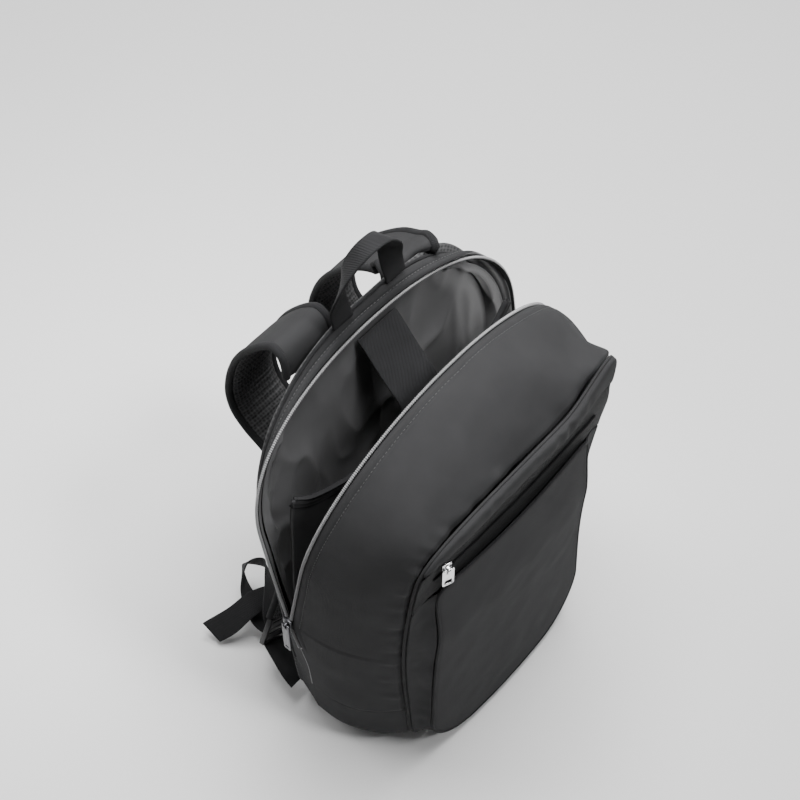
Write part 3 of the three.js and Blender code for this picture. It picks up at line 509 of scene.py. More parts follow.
def curve_through(rows, count):
    """A smooth path through table rows: centripetal Catmull-Rom, as many numbers a row as given."""
    rows = np.array(rows, float)
    ends = np.concatenate([[2 * rows[0] - rows[1]], rows, [2 * rows[-1] - rows[-2]]])
    step = np.linalg.norm(np.diff(ends[:, :3], axis=0), axis=1) ** 0.5
    knots = np.concatenate([[0], np.cumsum(np.maximum(step, 1e-6))])
    t = np.interp(np.linspace(0, len(rows) - 1, count), np.arange(len(rows)), knots[1:-1])
    i = np.clip(np.searchsorted(knots, t, side="right") - 1, 1, len(rows) - 1)
    p = [ends[i + k] for k in (-1, 0, 1, 2)]
    k = [knots[i + n][:, None] for n in (-1, 0, 1, 2)]
    t = t[:, None]
    a1 = (k[1] - t) / (k[1] - k[0]) * p[0] + (t - k[0]) / (k[1] - k[0]) * p[1]
    a2 = (k[2] - t) / (k[2] - k[1]) * p[1] + (t - k[1]) / (k[2] - k[1]) * p[2]
    a3 = (k[3] - t) / (k[3] - k[2]) * p[2] + (t - k[2]) / (k[3] - k[2]) * p[3]
    b1 = (k[2] - t) / (k[2] - k[0]) * a1 + (t - k[0]) / (k[2] - k[0]) * a2
    b2 = (k[3] - t) / (k[3] - k[1]) * a2 + (t - k[1]) / (k[3] - k[1]) * a3
    return (k[2] - t) / (k[2] - k[1]) * b1 + (t - k[1]) / (k[2] - k[1]) * b2


def even_path(path, step):
    """A path with equal steps, as points, and the row numbers they come from."""
    run = np.concatenate([[0], np.cumsum(np.linalg.norm(np.diff(path, axis=0), axis=1))])
    at = np.linspace(0, run[-1], max(2, int(run[-1] / step) + 1))
    rows = np.interp(at, run, np.arange(len(path)))
    return np.stack([np.interp(rows, np.arange(len(path)), path[:, k]) for k in range(3)], -1), rows


def sampled(values, rows):
    return np.stack([np.interp(rows, np.arange(len(values)), values[:, k]) for k in range(3)], -1)


def stitches(name, lines, stitch=2.6, gap=1.1, radius=0.34):
    """Rows of thread: small spindles laid end to end along lines of (path, outward direction)."""
    ring = np.array([[0, 1], [1, 0], [0, -1], [-1, 0]]) * radius
    spindle = np.concatenate([
        [[-0.5, 0, 0]],
        [[-0.36, a, b] for a, b in ring],
        [[0.36, a, b] for a, b in ring],
        [[0.5, 0, 0]],
    ])
    tris = [[0, 1 + (k + 1) % 4, 1 + k] for k in range(4)] + [[9, 5 + k, 5 + (k + 1) % 4] for k in range(4)]
    quads = [[1 + k, 1 + (k + 1) % 4, 5 + (k + 1) % 4, 5 + k] for k in range(4)]
    points = []
    for path, out in lines:
        spots, rows = even_path(path, stitch + gap)
        ahead = unit(np.gradient(spots, axis=0))
        up = unit(sampled(out, rows))
        side = unit(np.cross(up, ahead))
        up = np.cross(ahead, side)
        points.append(
            spots[:, None]
            + ahead[:, None] * (spindle[None, :, :1] * stitch)
            + side[:, None] * spindle[None, :, 1:2]
            + up[:, None] * spindle[None, :, 2:3]
        )
    points = np.concatenate(points)
    start = np.arange(len(points))[:, None, None] * 10
    tri = (np.array(tris)[None] + start).reshape(-1, 3)
    quad = (np.array(quads)[None] + start).reshape(-1, 4)
    flat = np.zeros((tri.size + quad.size, 2))
    return make_object(name, points.reshape(-1, 3), [tri, quad], flat, [FINISH["thread"]])


def place_piece(made, nodes=(), body="bag"):
    """Fixes a finished piece to its body and hides the solids that it stands for."""
    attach(made, body)
    if nodes:
        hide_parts(*nodes)
    return made


# Finishes, filled by make_finishes
FINISH = {}


def new_material(name, base, roughness, sheen=0.0, metallic=0.0, specular=0.1):
    """A material with one principled shader: returns it, its nodes, its links and the shader."""
    material = bpy.data.materials.new(name)
    material.use_nodes = True
    nodes, links = material.node_tree.nodes, material.node_tree.links
    shader = nodes["Principled BSDF"]
    shader.inputs["Base Color"].default_value = (*base, 1)
    shader.inputs["Roughness"].default_value = roughness
    shader.inputs["Metallic"].default_value = metallic
    shader.inputs["Sheen Weight"].default_value = sheen
    shader.inputs["Sheen Roughness"].default_value = 0.5
    shader.inputs["Specular IOR Level"].default_value = specular
    return material, nodes, links, shader


def texture(nodes, links, kind, coordinates, scale, turn=0.0, **settings):
    """A texture node on Object coordinates or on the piece's own flat map."""
    source = nodes.new("ShaderNodeTexCoord")
    mapping = nodes.new("ShaderNodeMapping")
    mapping.inputs["Rotation"].default_value = (0, 0, turn)
    links.new(source.outputs["UV" if coordinates == "flat" else "Object"], mapping.inputs["Vector"])
    made = nodes.new(kind)
    links.new(mapping.outputs["Vector"], made.inputs["Vector"])
    made.inputs["Scale"].default_value = scale
    for key, value in settings.items():
        if hasattr(made, key):
            setattr(made, key, value)
        else:
            made.inputs[key.replace("_", " ").title()].default_value = value
    return made


def add_bump(nodes, links, shader, heights, distance, strength=1.0):
    """Chains bump nodes, one a height, in metres of distance."""
    last = None
    for height, step in zip(heights, distance):
        bump = nodes.new("ShaderNodeBump")
        bump.inputs["Strength"].default_value = strength
        bump.inputs["Distance"].default_value = step
        links.new(height, bump.inputs["Height"])
        if last is not None:
            links.new(last.outputs["Normal"], bump.inputs["Normal"])
        last = bump
    links.new(last.outputs["Normal"], shader.inputs["Normal"])


def tinted(nodes, links, shader, factor, base, low, high):
    """Colour that runs from darker to lighter shares of the base with a factor."""
    ramp = nodes.new("ShaderNodeMix")
    ramp.data_type = "RGBA"
    links.new(factor, ramp.inputs["Factor"])
    ramp.inputs["A"].default_value = (*[value * low for value in base], 1)
    ramp.inputs["B"].default_value = (*[value * high for value in base], 1)
    links.new(ramp.outputs["Result"], shader.inputs["Base Color"])


def woven_cloth(name, base, pitch, roughness=0.85, sheen=0.01, depth=0.00012, mottle=(0.8, 1.25)):
    """Plain-weave cloth: two crossing waves on Object coordinates, broken up by fine noise."""
    material, nodes, links, shader = new_material(name, base, roughness, sheen)
    grain = texture(nodes, links, "ShaderNodeTexNoise", "object", 1 / pitch, detail=3, roughness=0.65)
    clouds = texture(nodes, links, "ShaderNodeTexNoise", "object", 26, detail=4, roughness=0.6)
    tinted(nodes, links, shader, clouds.outputs["Fac"], base, *mottle)
    heights = [grain.outputs["Fac"]]
    steps = [depth]
    for turn in (0.0, math.pi / 2):
        wave = texture(nodes, links, "ShaderNodeTexWave", "object", 0.5 / pitch, turn, distortion=1.2,
                       detail=1)
        heights.append(wave.outputs["Fac"])
        steps.append(depth * 0.4)
    add_bump(nodes, links, shader, heights, steps)
    return material


def ribbed_weave(name, base, pitch, turn, roughness=0.7, sheen=0.02, depth=0.0003):
    """Webbing: ribs on the flat map at an angle, crossed by finer ones."""
    material, nodes, links, shader = new_material(name, base, roughness, sheen)
    rib = texture(nodes, links, "ShaderNodeTexWave", "flat", 0.5 / pitch, turn, distortion=0.4,
                  wave_profile="SIN")
    cross = texture(nodes, links, "ShaderNodeTexWave", "flat", 0.5 / (pitch * 0.6), turn + math.pi / 2,
                    distortion=0.6)
    clouds = texture(nodes, links, "ShaderNodeTexNoise", "object", 60, detail=3)
    both = nodes.new("ShaderNodeMath")
    both.operation = "MULTIPLY_ADD"
    both.inputs[1].default_value = 0.6
    links.new(rib.outputs["Fac"], both.inputs[0])
    links.new(clouds.outputs["Fac"], both.inputs[2])
    tinted(nodes, links, shader, both.outputs["Value"], base, 0.55, 1.35)
    add_bump(nodes, links, shader, [rib.outputs["Fac"], cross.outputs["Fac"]], [depth, depth * 0.5])
    return material


def open_mesh(name, base, pitch):
    """Spacer mesh: round holes from cells on the flat map, with painted shade inside the holes."""
    material, nodes, links, shader = new_material(name, base, 0.85, 0.02)
    cells = texture(nodes, links, "ShaderNodeTexVoronoi", "flat", 1 / pitch, randomness=0.25)
    # Painted shade: the holes down to a quarter of the base colour, the rims between them lighter
    tinted(nodes, links, shader, cells.outputs["Distance"], base, 0.25, 2.2)
    add_bump(nodes, links, shader, [cells.outputs["Distance"]], [0.0006])
    return material


def plain_finish(name, base, roughness, metallic=0.0, specular=0.5, grain=4000, depth=0.00002, coat=0.0):
    """Moulded or plated finish with fine wear in its gloss."""
    material, nodes, links, shader = new_material(name, base, roughness, 0.0, metallic, specular)
    wear = texture(nodes, links, "ShaderNodeTexNoise", "object", 140, detail=5, roughness=0.7)
    fine = texture(nodes, links, "ShaderNodeTexNoise", "object", grain, detail=2)
    spread = nodes.new("ShaderNodeMapRange")
    links.new(wear.outputs["Fac"], spread.inputs["Value"])
    spread.inputs["To Min"].default_value = roughness * 0.75
    spread.inputs["To Max"].default_value = min(1, roughness * 1.35)
    links.new(spread.outputs["Result"], shader.inputs["Roughness"])
    shader.inputs["Coat Weight"].default_value = coat
    add_bump(nodes, links, shader, [fine.outputs["Fac"]], [depth])
    return material


def make_finishes():
    """All the finishes, from the chosen colours."""
    chosen = bpy.context.scene.backpack_colours
    FINISH["shell"] = woven_cloth("shell_polyester", tuple(chosen.shell), 0.0007)
    FINISH["lining"] = woven_cloth("lining_nylon", tuple(chosen.lining), 0.0004, 0.38, 0.0, 0.00003)
    FINISH["lining"].node_tree.nodes["Principled BSDF"].inputs["Specular IOR Level"].default_value = 0.4
    # The sleeve's finish is the lining nylon darkened: painted shade on the divider
    FINISH["sleeve"] = woven_cloth("sleeve_nylon_painted_shade", tuple(chosen.sleeve), 0.0005, 0.5, 0.0, 0.00004)
    FINISH["webbing"] = ribbed_weave("webbing_weave", tuple(chosen.webbing), 0.0022, math.pi / 4)
    FINISH["binding"] = ribbed_weave("edge_binding", tuple(chosen.webbing), 0.0016, 0.0)
    FINISH["tape"] = ribbed_weave("zipper_tape", tuple(chosen.tape), 0.0011, math.pi / 4, 0.6)
    # The coil's light grey is partly a painted highlight on its teeth
    FINISH["coil"] = plain_finish("zipper_coil_painted_highlight", tuple(chosen.coil), 0.4)
    FINISH["mesh"] = open_mesh("air_mesh", tuple(chosen.mesh), 0.003)
    FINISH["thread"] = plain_finish("thread", tuple(chosen.thread), 0.6)
    FINISH["plastic"] = plain_finish("hard_plastic", tuple(chosen.plastic), 0.38)
    FINISH["gunmetal"] = plain_finish("gunmetal", tuple(chosen.gunmetal), 0.3, 1.0)
    FINISH["silver"] = plain_finish("silver", tuple(chosen.silver), 0.16, 1.0)


def shell_sheet(rows, columns):
    """The front shell's outside with its folds, its places and the distances to the rim."""
    places = arch_places("front_rim", BASE_SPLIT + 0.003, columns)[None, :]
    spans = skin_span(places)
    trim = np.where(np.abs(places) >= 3, mm("tape"), 0.9)
    even = np.linspace(0, 1, rows)[:, None]
    even = mix(even, 0.5 - 0.5 * np.cos(np.pi * even), 0.45)
    share = mix(trim / spans, 1, even)
    sheet = front_skin(places, share)
    to_rim = (share * spans) - trim
    to_seam = (1 - share) * spans
    normal = facing(sheet, HEART)
    open_part = smooth((np.abs(places) - 2.9) / 0.4)
    puckers = soft_noise(sheet * np.array([1, 0.3, 1]), 9, 3)
    lift = 3.2 * soft_noise(sheet * np.array([1, 0.6, 0.7]), 74, 5) + 1.0 * soft_noise(sheet, 31, 6)
    lift = lift * smooth(to_rim / 30) * smooth(to_seam / 25)
    lift += open_part * (0.7 * bump_at(to_rim - 3.5, 3) - 0.55 * bump_at(to_rim - 8, 1.3))
    lift += bump_at(to_rim - 8, 5) * 0.25 * puckers * open_part
    lift += bump_at(to_seam, 12) * 1.7 * puckers
    lift -= 1.9 * bump_at(to_seam, 2.4)
    return sheet + normal * lift[..., None], places, to_rim


def stitch_line(sheet, distance, at, near_last=False):
    """The line on a sheet where a distance from its edge has a value, and the outward way."""
    normal = facing(sheet, HEART)
    rows = np.arange(sheet.shape[0])
    columns = sheet.shape[1]
    order = distance[::-1] if near_last else distance
    index = np.array([np.interp(at, order[:, c], rows) for c in range(columns)])
    if near_last:
        index = sheet.shape[0] - 1 - index
    low = np.clip(np.floor(index).astype(int), 0, sheet.shape[0] - 2)
    part = (index - low)[:, None]
    c = np.arange(columns)
    path = mix(sheet[low, c], sheet[low + 1, c], part)
    return path, mix(normal[low, c], normal[low + 1, c], part)


class BACKPACK_OT_shell(bpy.types.Operator):
    """Front shell, rear band, base and the wall behind the pocket"""

    bl_idname = "backpack.shell"
    bl_label = "Shell"

    def execute(self, context):
        cloth = mm("cloth")
        sheet, places, to_rim = shell_sheet(72, 420)
        made = wall("front_shell_cloth", sheet, cloth, [FINISH["shell"], FINISH["lining"]])
        place_piece(made, ["front_shell"])
        above = np.flatnonzero(np.abs(places[0]) > 4)
        first, last = above[0], above[-1]
        lines = []
        path, out = stitch_line(sheet, to_rim, 8.0)
        lines.append((path[first:last] + out[first:last] * 0.15, out[first:last]))
        lines.append(rear_cloth())
        made = stitches("top_stitching", lines)
        place_piece(made)
        base_cloth()
        front_wall_cloth()
        back_pad()
        return {"FINISHED"}


def rear_cloth():
    """The band behind the zipper. Returns its stitch line."""
    places = arch_places("rear_rim", BASE_SPLIT + 0.003, 420)[None, :]
    spans = band_span(places)
    trim = np.where(np.abs(places) >= 3, mm("tape"), 0.9)
    share = np.linspace(0, 1, 26)[:, None] * (1 - trim / spans)
    sheet = rear_band(places, share)
    to_rim = (1 - share) * spans - trim
    to_seam = share * spans
    normal = facing(sheet, HEART)
    lift = 1.2 * soft_noise(sheet, 34, 11) * smooth(to_rim / 12) * smooth(to_seam / 10)
    shoulder = bump_at(places - 5.55, 0.3)
    lift = lift + 5 * shoulder * np.sin(np.clip(to_seam / spans, 0, 1) * np.pi * 0.8)
    puckers = soft_noise(sheet, 8, 12)
    open_part = smooth((np.abs(places) - 2.9) / 0.4)
    lift += open_part * (0.5 * bump_at(to_rim - 3, 2.6) - 0.5 * bump_at(to_rim - 7, 1.2))
    lift += bump_at(to_seam, 7) * 0.5 * puckers - 0.8 * bump_at(to_seam, 1.8)
    sheet = sheet + normal * lift[..., None]
    thick = np.minimum(mm("cloth"), 2.2)
    inner_room = np.clip((back_depth(sheet[..., 2]) - 0.4 - sheet[..., 1]), 0.25, None)
    inward = np.clip(-normal[..., 1], 0.05, None)
    thickness = np.minimum(thick, np.where(normal[..., 1] < 0, inner_room / inward, thick))
    made = wall("rear_band_cloth", sheet, thickness.mean(), [FINISH["shell"], FINISH["lining"]])
    place_piece(made, ["rear_gusset"])
    above = np.flatnonzero(np.abs(places[0]) > 4)
    first, last = above[0], above[-1]
    path, out = stitch_line(sheet, to_rim, 7.0, near_last=True)
    seam = sheet[0]
    side = facing(sheet, HEART)[0]
    piping = swept("back_seam_piping", seam + side * 0.3, side, round_section(1.5, 8), [FINISH["binding"]])
    place_piece(piping)
    return path[first:last] + out[first:last] * 0.15, out[first:last]


def base_cloth():
    """The bottom with its rounded corners, flat where it stands."""
    places = even_places("rear_rim", -BASE_SPLIT, BASE_SPLIT, 220)[None, :]
    rear = back_seam(places)
    shares = np.linspace(0, 1, 50)[:, None]
    skin = front_skin(places, shares)
    steps = np.linspace(0, 1, 10)[:-1]
    behind = mix(rear, skin[:1], steps[:, None, None])
    sheet = np.concatenate([behind, skin])
    normal = facing(sheet, HEART)
    raised = smooth((sheet[..., 2] - 4) / 20)
    lift = (1.2 * soft_noise(sheet, 40, 21) + 0.5 * soft_noise(sheet, 14, 22)) * raised
    made = wall("base_cloth", sheet + normal * lift[..., None], 2.4, [FINISH["shell"], FINISH["lining"]])
    place_piece(made, ["base_gusset"])


def ring_places(outline, count):
    """Places all the way round an outline, starting at the base's middle."""
    half = even_places(outline, 0.0, 6.0, count // 2 + 1)
    return np.concatenate([half[:-1], -half[::-1][:-1]])


def dished(outline, scale, depth, shift=0.0, count=240):
    """Rings of an outline scaled about its middle: scale (rings, 1), depth of (x, z, scale)."""
    values = OUTLINES[outline]
    middle = (values[3] + values[5]) / 2 * mm("height")
    x, z = outline_at(values, ring_places(outline, count)[None, :])
    height = mix(middle, z, scale)
    x = x * scale
    return corner_pull(stack(x + slump(shift, height, x), depth(x, height, scale), height))


def front_wall_cloth():
    """The wall between the main compartment and the pocket."""
    scale = np.concatenate([np.linspace(0.03, 1, 26), np.linspace(1, 0.03, 12)])[:, None]
    thick = np.concatenate([np.zeros(26), np.full(12, 2.2)])[:, None]

    def depth(x, z, s):
        wave = 0.5 * soft_noise(stack(x, 0, z), 30, 31)
        return wall_face(z) + thick + wave * (thick == 0) * smooth((1 - s) / 0.15) - 0.1
    rings = dished("front_seam", scale, depth, FRONT_SHIFT)
    made = closed_body("front_wall_cloth", rings, [FINISH["shell"]])
    place_piece(made, ["front_wall"])


def back_pad():
    """The padded back: a dome with two pads, sunken channels between them and a bound edge."""
    scale = np.concatenate([np.linspace(0.02, 1, 90), np.linspace(1, 0.02, 10)])[:, None]
    front = np.concatenate([np.ones(90), np.zeros(10)])[:, None]

    def depth(x, z, s):
        dome = mix(11, 3, smooth((s - 0.8) / 0.2))
        channel = 4.5 * bump_at(x, 6) + 3.5 * bump_at(z - 150, 5) + 3.5 * bump_at(z - 262, 5)
        border = 2.2 * bump_at(s - 0.83, 0.018)
        lumps = 0.6 * soft_noise(stack(x, 0, z), 26, 41)
        return back_depth(z) + front * (dome - channel * smooth((0.86 - s) / 0.05) - border + lumps - 0.4)
    rings = dished("back", scale, depth, count=320)
    made = closed_body("back_pad_cloth", rings, [FINISH["mesh"]])
    place_piece(made, ["back_panel"])


class BACKPACK_OT_inside(bpy.types.Operator):
    """Lining, laptop divider and tab"""

    bl_idname = "backpack.inside"
    bl_label = "Inside"

    def execute(self, context):
        lining_cloth()
        divider_cloth()
        tab_webbing()
        return {"FINISHED"}


def lining_cloth():
    """A shallow bowl of nylon behind the sleeve, crumpled into long folds."""
    inset = 2.4 + 1 + 2.4
    values = OUTLINES["back"]
    middle = (values[3] + values[5]) / 2 * mm("height")
    place = ring_places("back", 320)[None, :]

    def moved(points, extra):
        run = np.hypot(points[..., 0], points[..., 2] - middle)
        scale = 1 - (inset + extra) / run
        z = mix(middle, points[..., 2], scale)
        y = np.minimum(points[..., 1], back_depth(z) - 0.6 - extra)
        return stack(points[..., 0] * scale, y, z)

    def bowl(extra):
        scales = np.linspace(0.03, 0.94, 46)[:, None]
        x, z = outline_at(values, place)
        height = mix(middle, z, scales)
        flat = stack(x * scales, back_depth(height) - 0.6 - extra, height)
        spans = band_span(place)
        share = mix(2 / spans, 1 - 7.8 / spans, np.linspace(0.04, 1, 22)[:, None])
        rings = np.concatenate([flat, moved(rear_band(place, share), extra)])
        edge = smooth((len(rings) - 1 - np.arange(len(rings))) / 8)[:, None]
        inward = -unit(rings - np.array([0, -30, middle]))
        wrinkles = creases(rings, 34, 51, (1, 1, 2.2)) * 5 + creases(rings, 17, 52, (1, 1, 3)) * 2.4
        wrinkles = wrinkles + 2.2 * (1 + soft_noise(rings, 50, 53))
        inward[..., 2] *= 0.3
        return rings + inward * (wrinkles * edge)[..., None]
    rings = np.concatenate([bowl(0), bowl(1)[::-1]])
    made = closed_body("lining_cloth", rings, [FINISH["lining"]])
    place_piece(made, ["lining"])


def divider_depth(a, share):
    """Depth of the divider's front at a share of its half-width and of its height."""
    return mix(back_depth(0) - 30, rim_meeting() + 6, share) - 10 * share * (1 - a * a)


def divider_cloth():
    """The laptop sleeve's front: slack cloth with a bound top edge."""
    floor = 2.8 + 1 + 2.7
    a = np.linspace(-1, 1, 120)[None, :]
    share = np.linspace(0, 1, 110)[:, None]
    z = mix(floor, mm("divider"), share)
    room = half_width(OUTLINES["rear_rim"], z) - 7.4
    half = room - smooth((z - mm("zip_end")) / (mm("divider") - mm("zip_end"))) * mm("width") * 0.045
    sag = share * mm("divider") * 0.095 * (1 - a**4)
    sheet = stack(a * half, divider_depth(a, share), z - sag)
    waves = 1.6 * soft_noise(sheet * np.array([1, 1, 0.5]), 46, 61) + 0.5 * soft_noise(sheet, 15, 62)
    sheet[..., 1] += waves * smooth(share / 0.1) * smooth((1 - np.abs(a)) / 0.1) + 1.2
    forward = np.broadcast_to(np.array([0.0, -1.0, 0.0]), sheet.shape)
    # The sleeve finish is painted shade: the lining's nylon darkened
    made = wall("divider_cloth", sheet, 2.4, [FINISH["sleeve"]], normal=forward)
    place_piece(made, ["laptop_divider"])
    top = sheet[-1] + np.array([0, 1.2, 0])
    across = np.tile([0.0, 1.0, 0.0], (len(top), 1))
    edge = top + np.array([0, 0, -3.2])
    binding = swept("divider_binding", edge, across, flat_section(4.2, 8.5), [FINISH["binding"]])
    place_piece(binding)


# rise as a share of the divider's height, reach from the sleeve's mouth (0) to the back (1), and
# slide as a share of the tab's width
TAB_RUN = [
    (1.2, 0.84, 0.01), (1.185, 0.7, 0.01), (1.14, 0.4, 0.02), (1.1, 0.06, 0.02),
    (1.06, -0.28, 0.03), (1, -0.42, 0.03), (0.93, -0.44, 0.03), (0.87, -0.405, 0.03),
]


def tab_webbing():
    """The wide tab that reaches over the sleeve."""
    mouth = rim_meeting() + 6
    rows = []
    for rise, reach, slide in TAB_RUN:
        z = rise * mm("divider")
        rows.append([slide * mm("tab"), mix(mouth, back_depth(z) - 1.6, reach), z])
    path, _ = even_path(curve_through(rows, 400), 1.6)
    side = np.tile([1.0, 0.0, 0.0], (len(path), 1))
    made = swept("tab_webbing", path, side, flat_section(mm("tab"), 1.8, 30), [FINISH["webbing"]])
    place_piece(made, ["laptop_tab"])


class BACKPACK_OT_zippers(bpy.types.Operator):
    """Tapes and coils of the open main zipper"""

    bl_idname = "backpack.zippers"
    bl_label = "Zippers"

    def execute(self, context):
        for label, node in (("rear", "rear_zip_tape"), ("front", "front_zip_tape")):
            places = arch_places(f"{label}_rim", 4.06, 640)
            if label == "rear":
                spans = band_span(places)
                at = [rear_band(places, 1 - back / spans) for back in TAPE_STEPS]
                edge = rear_band(places, 1 - 1.4 / spans)
            else:
                spans = skin_span(places)
                at = [front_skin(places, back / spans) for back in TAPE_STEPS]
                edge = front_skin(places, 1.4 / spans)
            sheet = np.stack(at)
            made = wall(f"{label}_tape", sheet - facing(sheet, HEART) * 0.5, 0.8, [FINISH["tape"]])
            place_piece(made, [node])
            normal = facing(sheet, HEART)[-2]
            toward = unit(sheet[-1] - sheet[-3])
            coil(f"{label}_coil", edge + normal * 0.6, toward, mm("coil") / 2)
        for side, name in ((-1, "left"), (1, "right")):
            places = np.linspace(3.01, 4.04, 60) * side
            spans = band_span(places)
            front = skin_span(places)
            at = [rear_band(places, 1 - back / spans) for back in (4.8, 3, 1.2)]
            at += [front_skin(places, back / front) for back in (1.2, 3, 4.8)]
            sheet = np.stack(at)
            made = wall(f"zip_foot_{name}_tape", sheet - facing(sheet, HEART) * 0.3, 1.0, [FINISH["tape"]])
            place_piece(made, [f"zip_foot_{name}"])
            middle = (sheet[2] + sheet[3]) / 2
            raised = middle + facing(sheet, HEART)[2] * 0.1
            coil(f"zip_foot_{name}_coil", raised, unit(sheet[3] - sheet[2]), 1.7)
        return {"FINISHED"}


def coil(name, path, toward, radius, finish="coil"):
    """A zipper coil: a tube whose radius swells once a tooth, flattened against the tape."""
    step = mm("tooth") / 5
    path, rows = even_path(path, step)
    toward = sampled(toward, rows)
    swell = 0.76 + 0.3 * np.cos(np.arange(len(path)) * step / mm("tooth") * 2 * np.pi)
    scale = np.stack([radius * (0.4 + 0.6 * swell), radius * swell], -1)
    made = swept(name, path, toward, round_section(1.0, 8), [FINISH[finish]], scale)
    place_piece(made)


class BACKPACK_OT_pocket(bpy.types.Operator):
    """Front pocket with its hood and zipper"""

    bl_idname = "backpack.pocket"
    bl_label = "Pocket"

    def execute(self, context):
        hood_cloth()
        pocket_cloth()
        pocket_zip()
        return {"FINISHED"}


def seam_height(x):
    """Height of the front seam's arch over x."""
    half, _, _, top, shoulder, _, power, right_power, lift = measures(OUTLINES["front_seam"])
    share = np.clip(np.abs(x) / half, 0, 1)
    power = np.where(x > 0, right_power, power)
    raised = np.where(x > 0, lift * np.sin(2 * np.arccos(share ** (power / 2))) ** 2, 0)
    return mix(shoulder, top, (1 - share**power) ** (1 / power)) + raised


def hood_cloth():
    """The padded band over the pocket's zipper: a crescent, rounded across, gathered in places."""
    low = measures(OUTLINES["front_seam"])[3] - HOOD_DROP
    half = float(half_width(OUTLINES["front_seam"], low)) * 0.985
    a = np.linspace(-1, 1, 260)[None, :]
    turn = np.linspace(0, 2 * np.pi, 65)[:-1][:, None]
    share = 0.5 - 0.5 * np.cos(turn)
    x = a * half
    z = mix(seam_height(x) - 0.6, low - 1.5 * np.abs(a), share)
    puff = np.clip(np.sin(turn), 0, None) ** 0.6
    gathers = 0.3 + bump_at(x - 52, 26) + 0.5 * bump_at(x + 20, 20)
    fold = soft_noise(stack(x, 0, z * 0.3), 7, 71) * gathers * 1.4
    thick = 7.2 * puff * (1 - np.where(a > 0, 0.25, 0.7) * np.abs(a) ** 6) + fold * puff
    y = wall_face(z) - 0.45 - thick
    rings = corner_pull(stack(x + slump(FRONT_SHIFT, z, x), y, z)).transpose(1, 0, 2)
    made = closed_body("hood_cloth", rings, [FINISH["shell"]])
    place_piece(made, ["hood_band"])


def pocket_front_face(x, z):
    """The pocket's face: fullest in the middle of its width."""
    half = OUTLINES["pocket"][1] * mm("width")
    return pocket_face(z) - 7 * (1 - (x / half) ** 2)


def pocket_cloth():
    """The pocket's face and its sides."""
    scale = np.concatenate([np.linspace(0.02, 1, 70), np.linspace(1, 0.02, 8)])[:, None]
    back = np.concatenate([np.zeros(70), np.full(8, 2.2)])[:, None]

    def depth(x, z, s):
        folds = 1.6 * soft_noise(stack(x, 0, z * 0.6), 60, 81) + 0.5 * soft_noise(stack(x, 0, z), 18, 82)
        lift = folds * smooth((1 - s) / 0.2) - 0.9 * bump_at(s - 1, 0.02)
        return pocket_front_face(x, z) + back - lift * (back == 0)
    rings = dished("pocket", scale, depth, POCKET_SHIFT, 360)
    made = closed_body("pocket_face_cloth", rings, [FINISH["shell"]])
    place_piece(made, ["pocket_front"])

    places = even_places("front_seam", -POCKET_SEAM_END, POCKET_SEAM_END, 420)
    at = np.abs(places)
    seam_place = np.sign(places) * (np.minimum(at, 4) + np.clip(at - 4, 0, None) * 0.55)
    x, z = outline_at(OUTLINES["front_seam"], seam_place)
    px, pz = outline_at(OUTLINES["pocket"], places)
    low = mix(mm("height") * 0.42, z, 0.985)
    start = stack(x * 0.985 + slump(FRONT_SHIFT, z, x), wall_face(low) - 2.06, low)
    end = stack(px + slump(POCKET_SHIFT, pz, px), pocket_front_face(px, pz), pz)
    span = np.linalg.norm(end - start, axis=-1)
    share = np.linspace(0, 1, 30)[:, None, None] * (1 - 3.4 / span)[None, :, None]
    sheet = mix(start[None], end[None], share)
    normal = facing(sheet, (0, 60, 150))
    middle = np.sin(np.clip(share[..., 0], 0, 1) * np.pi)
    lift = (1.8 * soft_noise(sheet, 26, 83) + 0.8 * soft_noise(sheet, 10, 84)) * middle - 2.0 * middle
    made = wall("pocket_side_cloth", sheet + normal * lift[..., None], 1.6, [FINISH["shell"]], normal=normal)
    place_piece(made, ["pocket_gusset"])

    def seam_depth(x, z, s):
        return pocket_front_face(x, z) + 1.2
    ring = dished("pocket", np.ones((1, 1)), seam_depth, POCKET_SHIFT, 500)[0]
    out = unit(ring - np.array([0.0, -60.0, mm("height") * 0.36]))
    closed = np.concatenate([ring, ring[:1]])
    out = np.concatenate([out, out[:1]])
    bead = swept("pocket_seam_piping", closed, out, round_section(1.5, 8), [FINISH["binding"]])
    place_piece(bead)


def pocket_zip():
    """The closed zipper under the hood, with its coil."""
    low_hood = measures(OUTLINES["front_seam"])[3] - HOOD_DROP
    half = OUTLINES["pocket"][0] * mm("width") + 8
    high = low_hood - 2.4
    low = OUTLINES["pocket"][3] * mm("height") - 3
    a = np.linspace(-1, 1, 200)[None, :]
    share = np.linspace(0, 1, 30)[:, None]
    edge = smooth((np.abs(a) - 0.9) / 0.1)
    seam_place = 4 + (POCKET_SEAM_END - 4) * 0.55
    side_low = outline_at(OUTLINES["front_seam"], np.array([seam_place]))[1][0] + 1.5
    z = mix(high - 3 * edge, mix(low, side_low, edge), share)
    shift = slump(mix(FRONT_SHIFT, POCKET_SHIFT, share * (1 - edge)), z, a * half)
    wide = half_width(OUTLINES["front_seam"], z) - 2
    x = mix(a * half / 0.9, np.sign(a) * wide, edge) + shift
    flat = wall_face(z) - 0.3 - 1.6
    face = pocket_face(low) - 7 * (1 - a * a) + 2.2 + 0.3 + 1.6
    y = mix(mix(flat - 1, np.minimum(face, flat - 1), share), flat, edge)
    sheet = corner_pull(stack(x, y, z))
    sheet[..., 1] += 0.3 * soft_noise(sheet, 12, 91)
    forward = np.broadcast_to(np.array([0.0, -1.0, 0.0]), sheet.shape)
    made = wall("pocket_zip_cloth", sheet, 1.3, [FINISH["tape"]], normal=forward)
    place_piece(made, ["pocket_zip_strip"])
    middle = sheet[15, 12:-12] + np.array([0, -0.4, 0])
    coil("pocket_coil", middle, np.tile([0.0, 0.0, 1.0], (len(middle), 1)), 1.7, "tape")


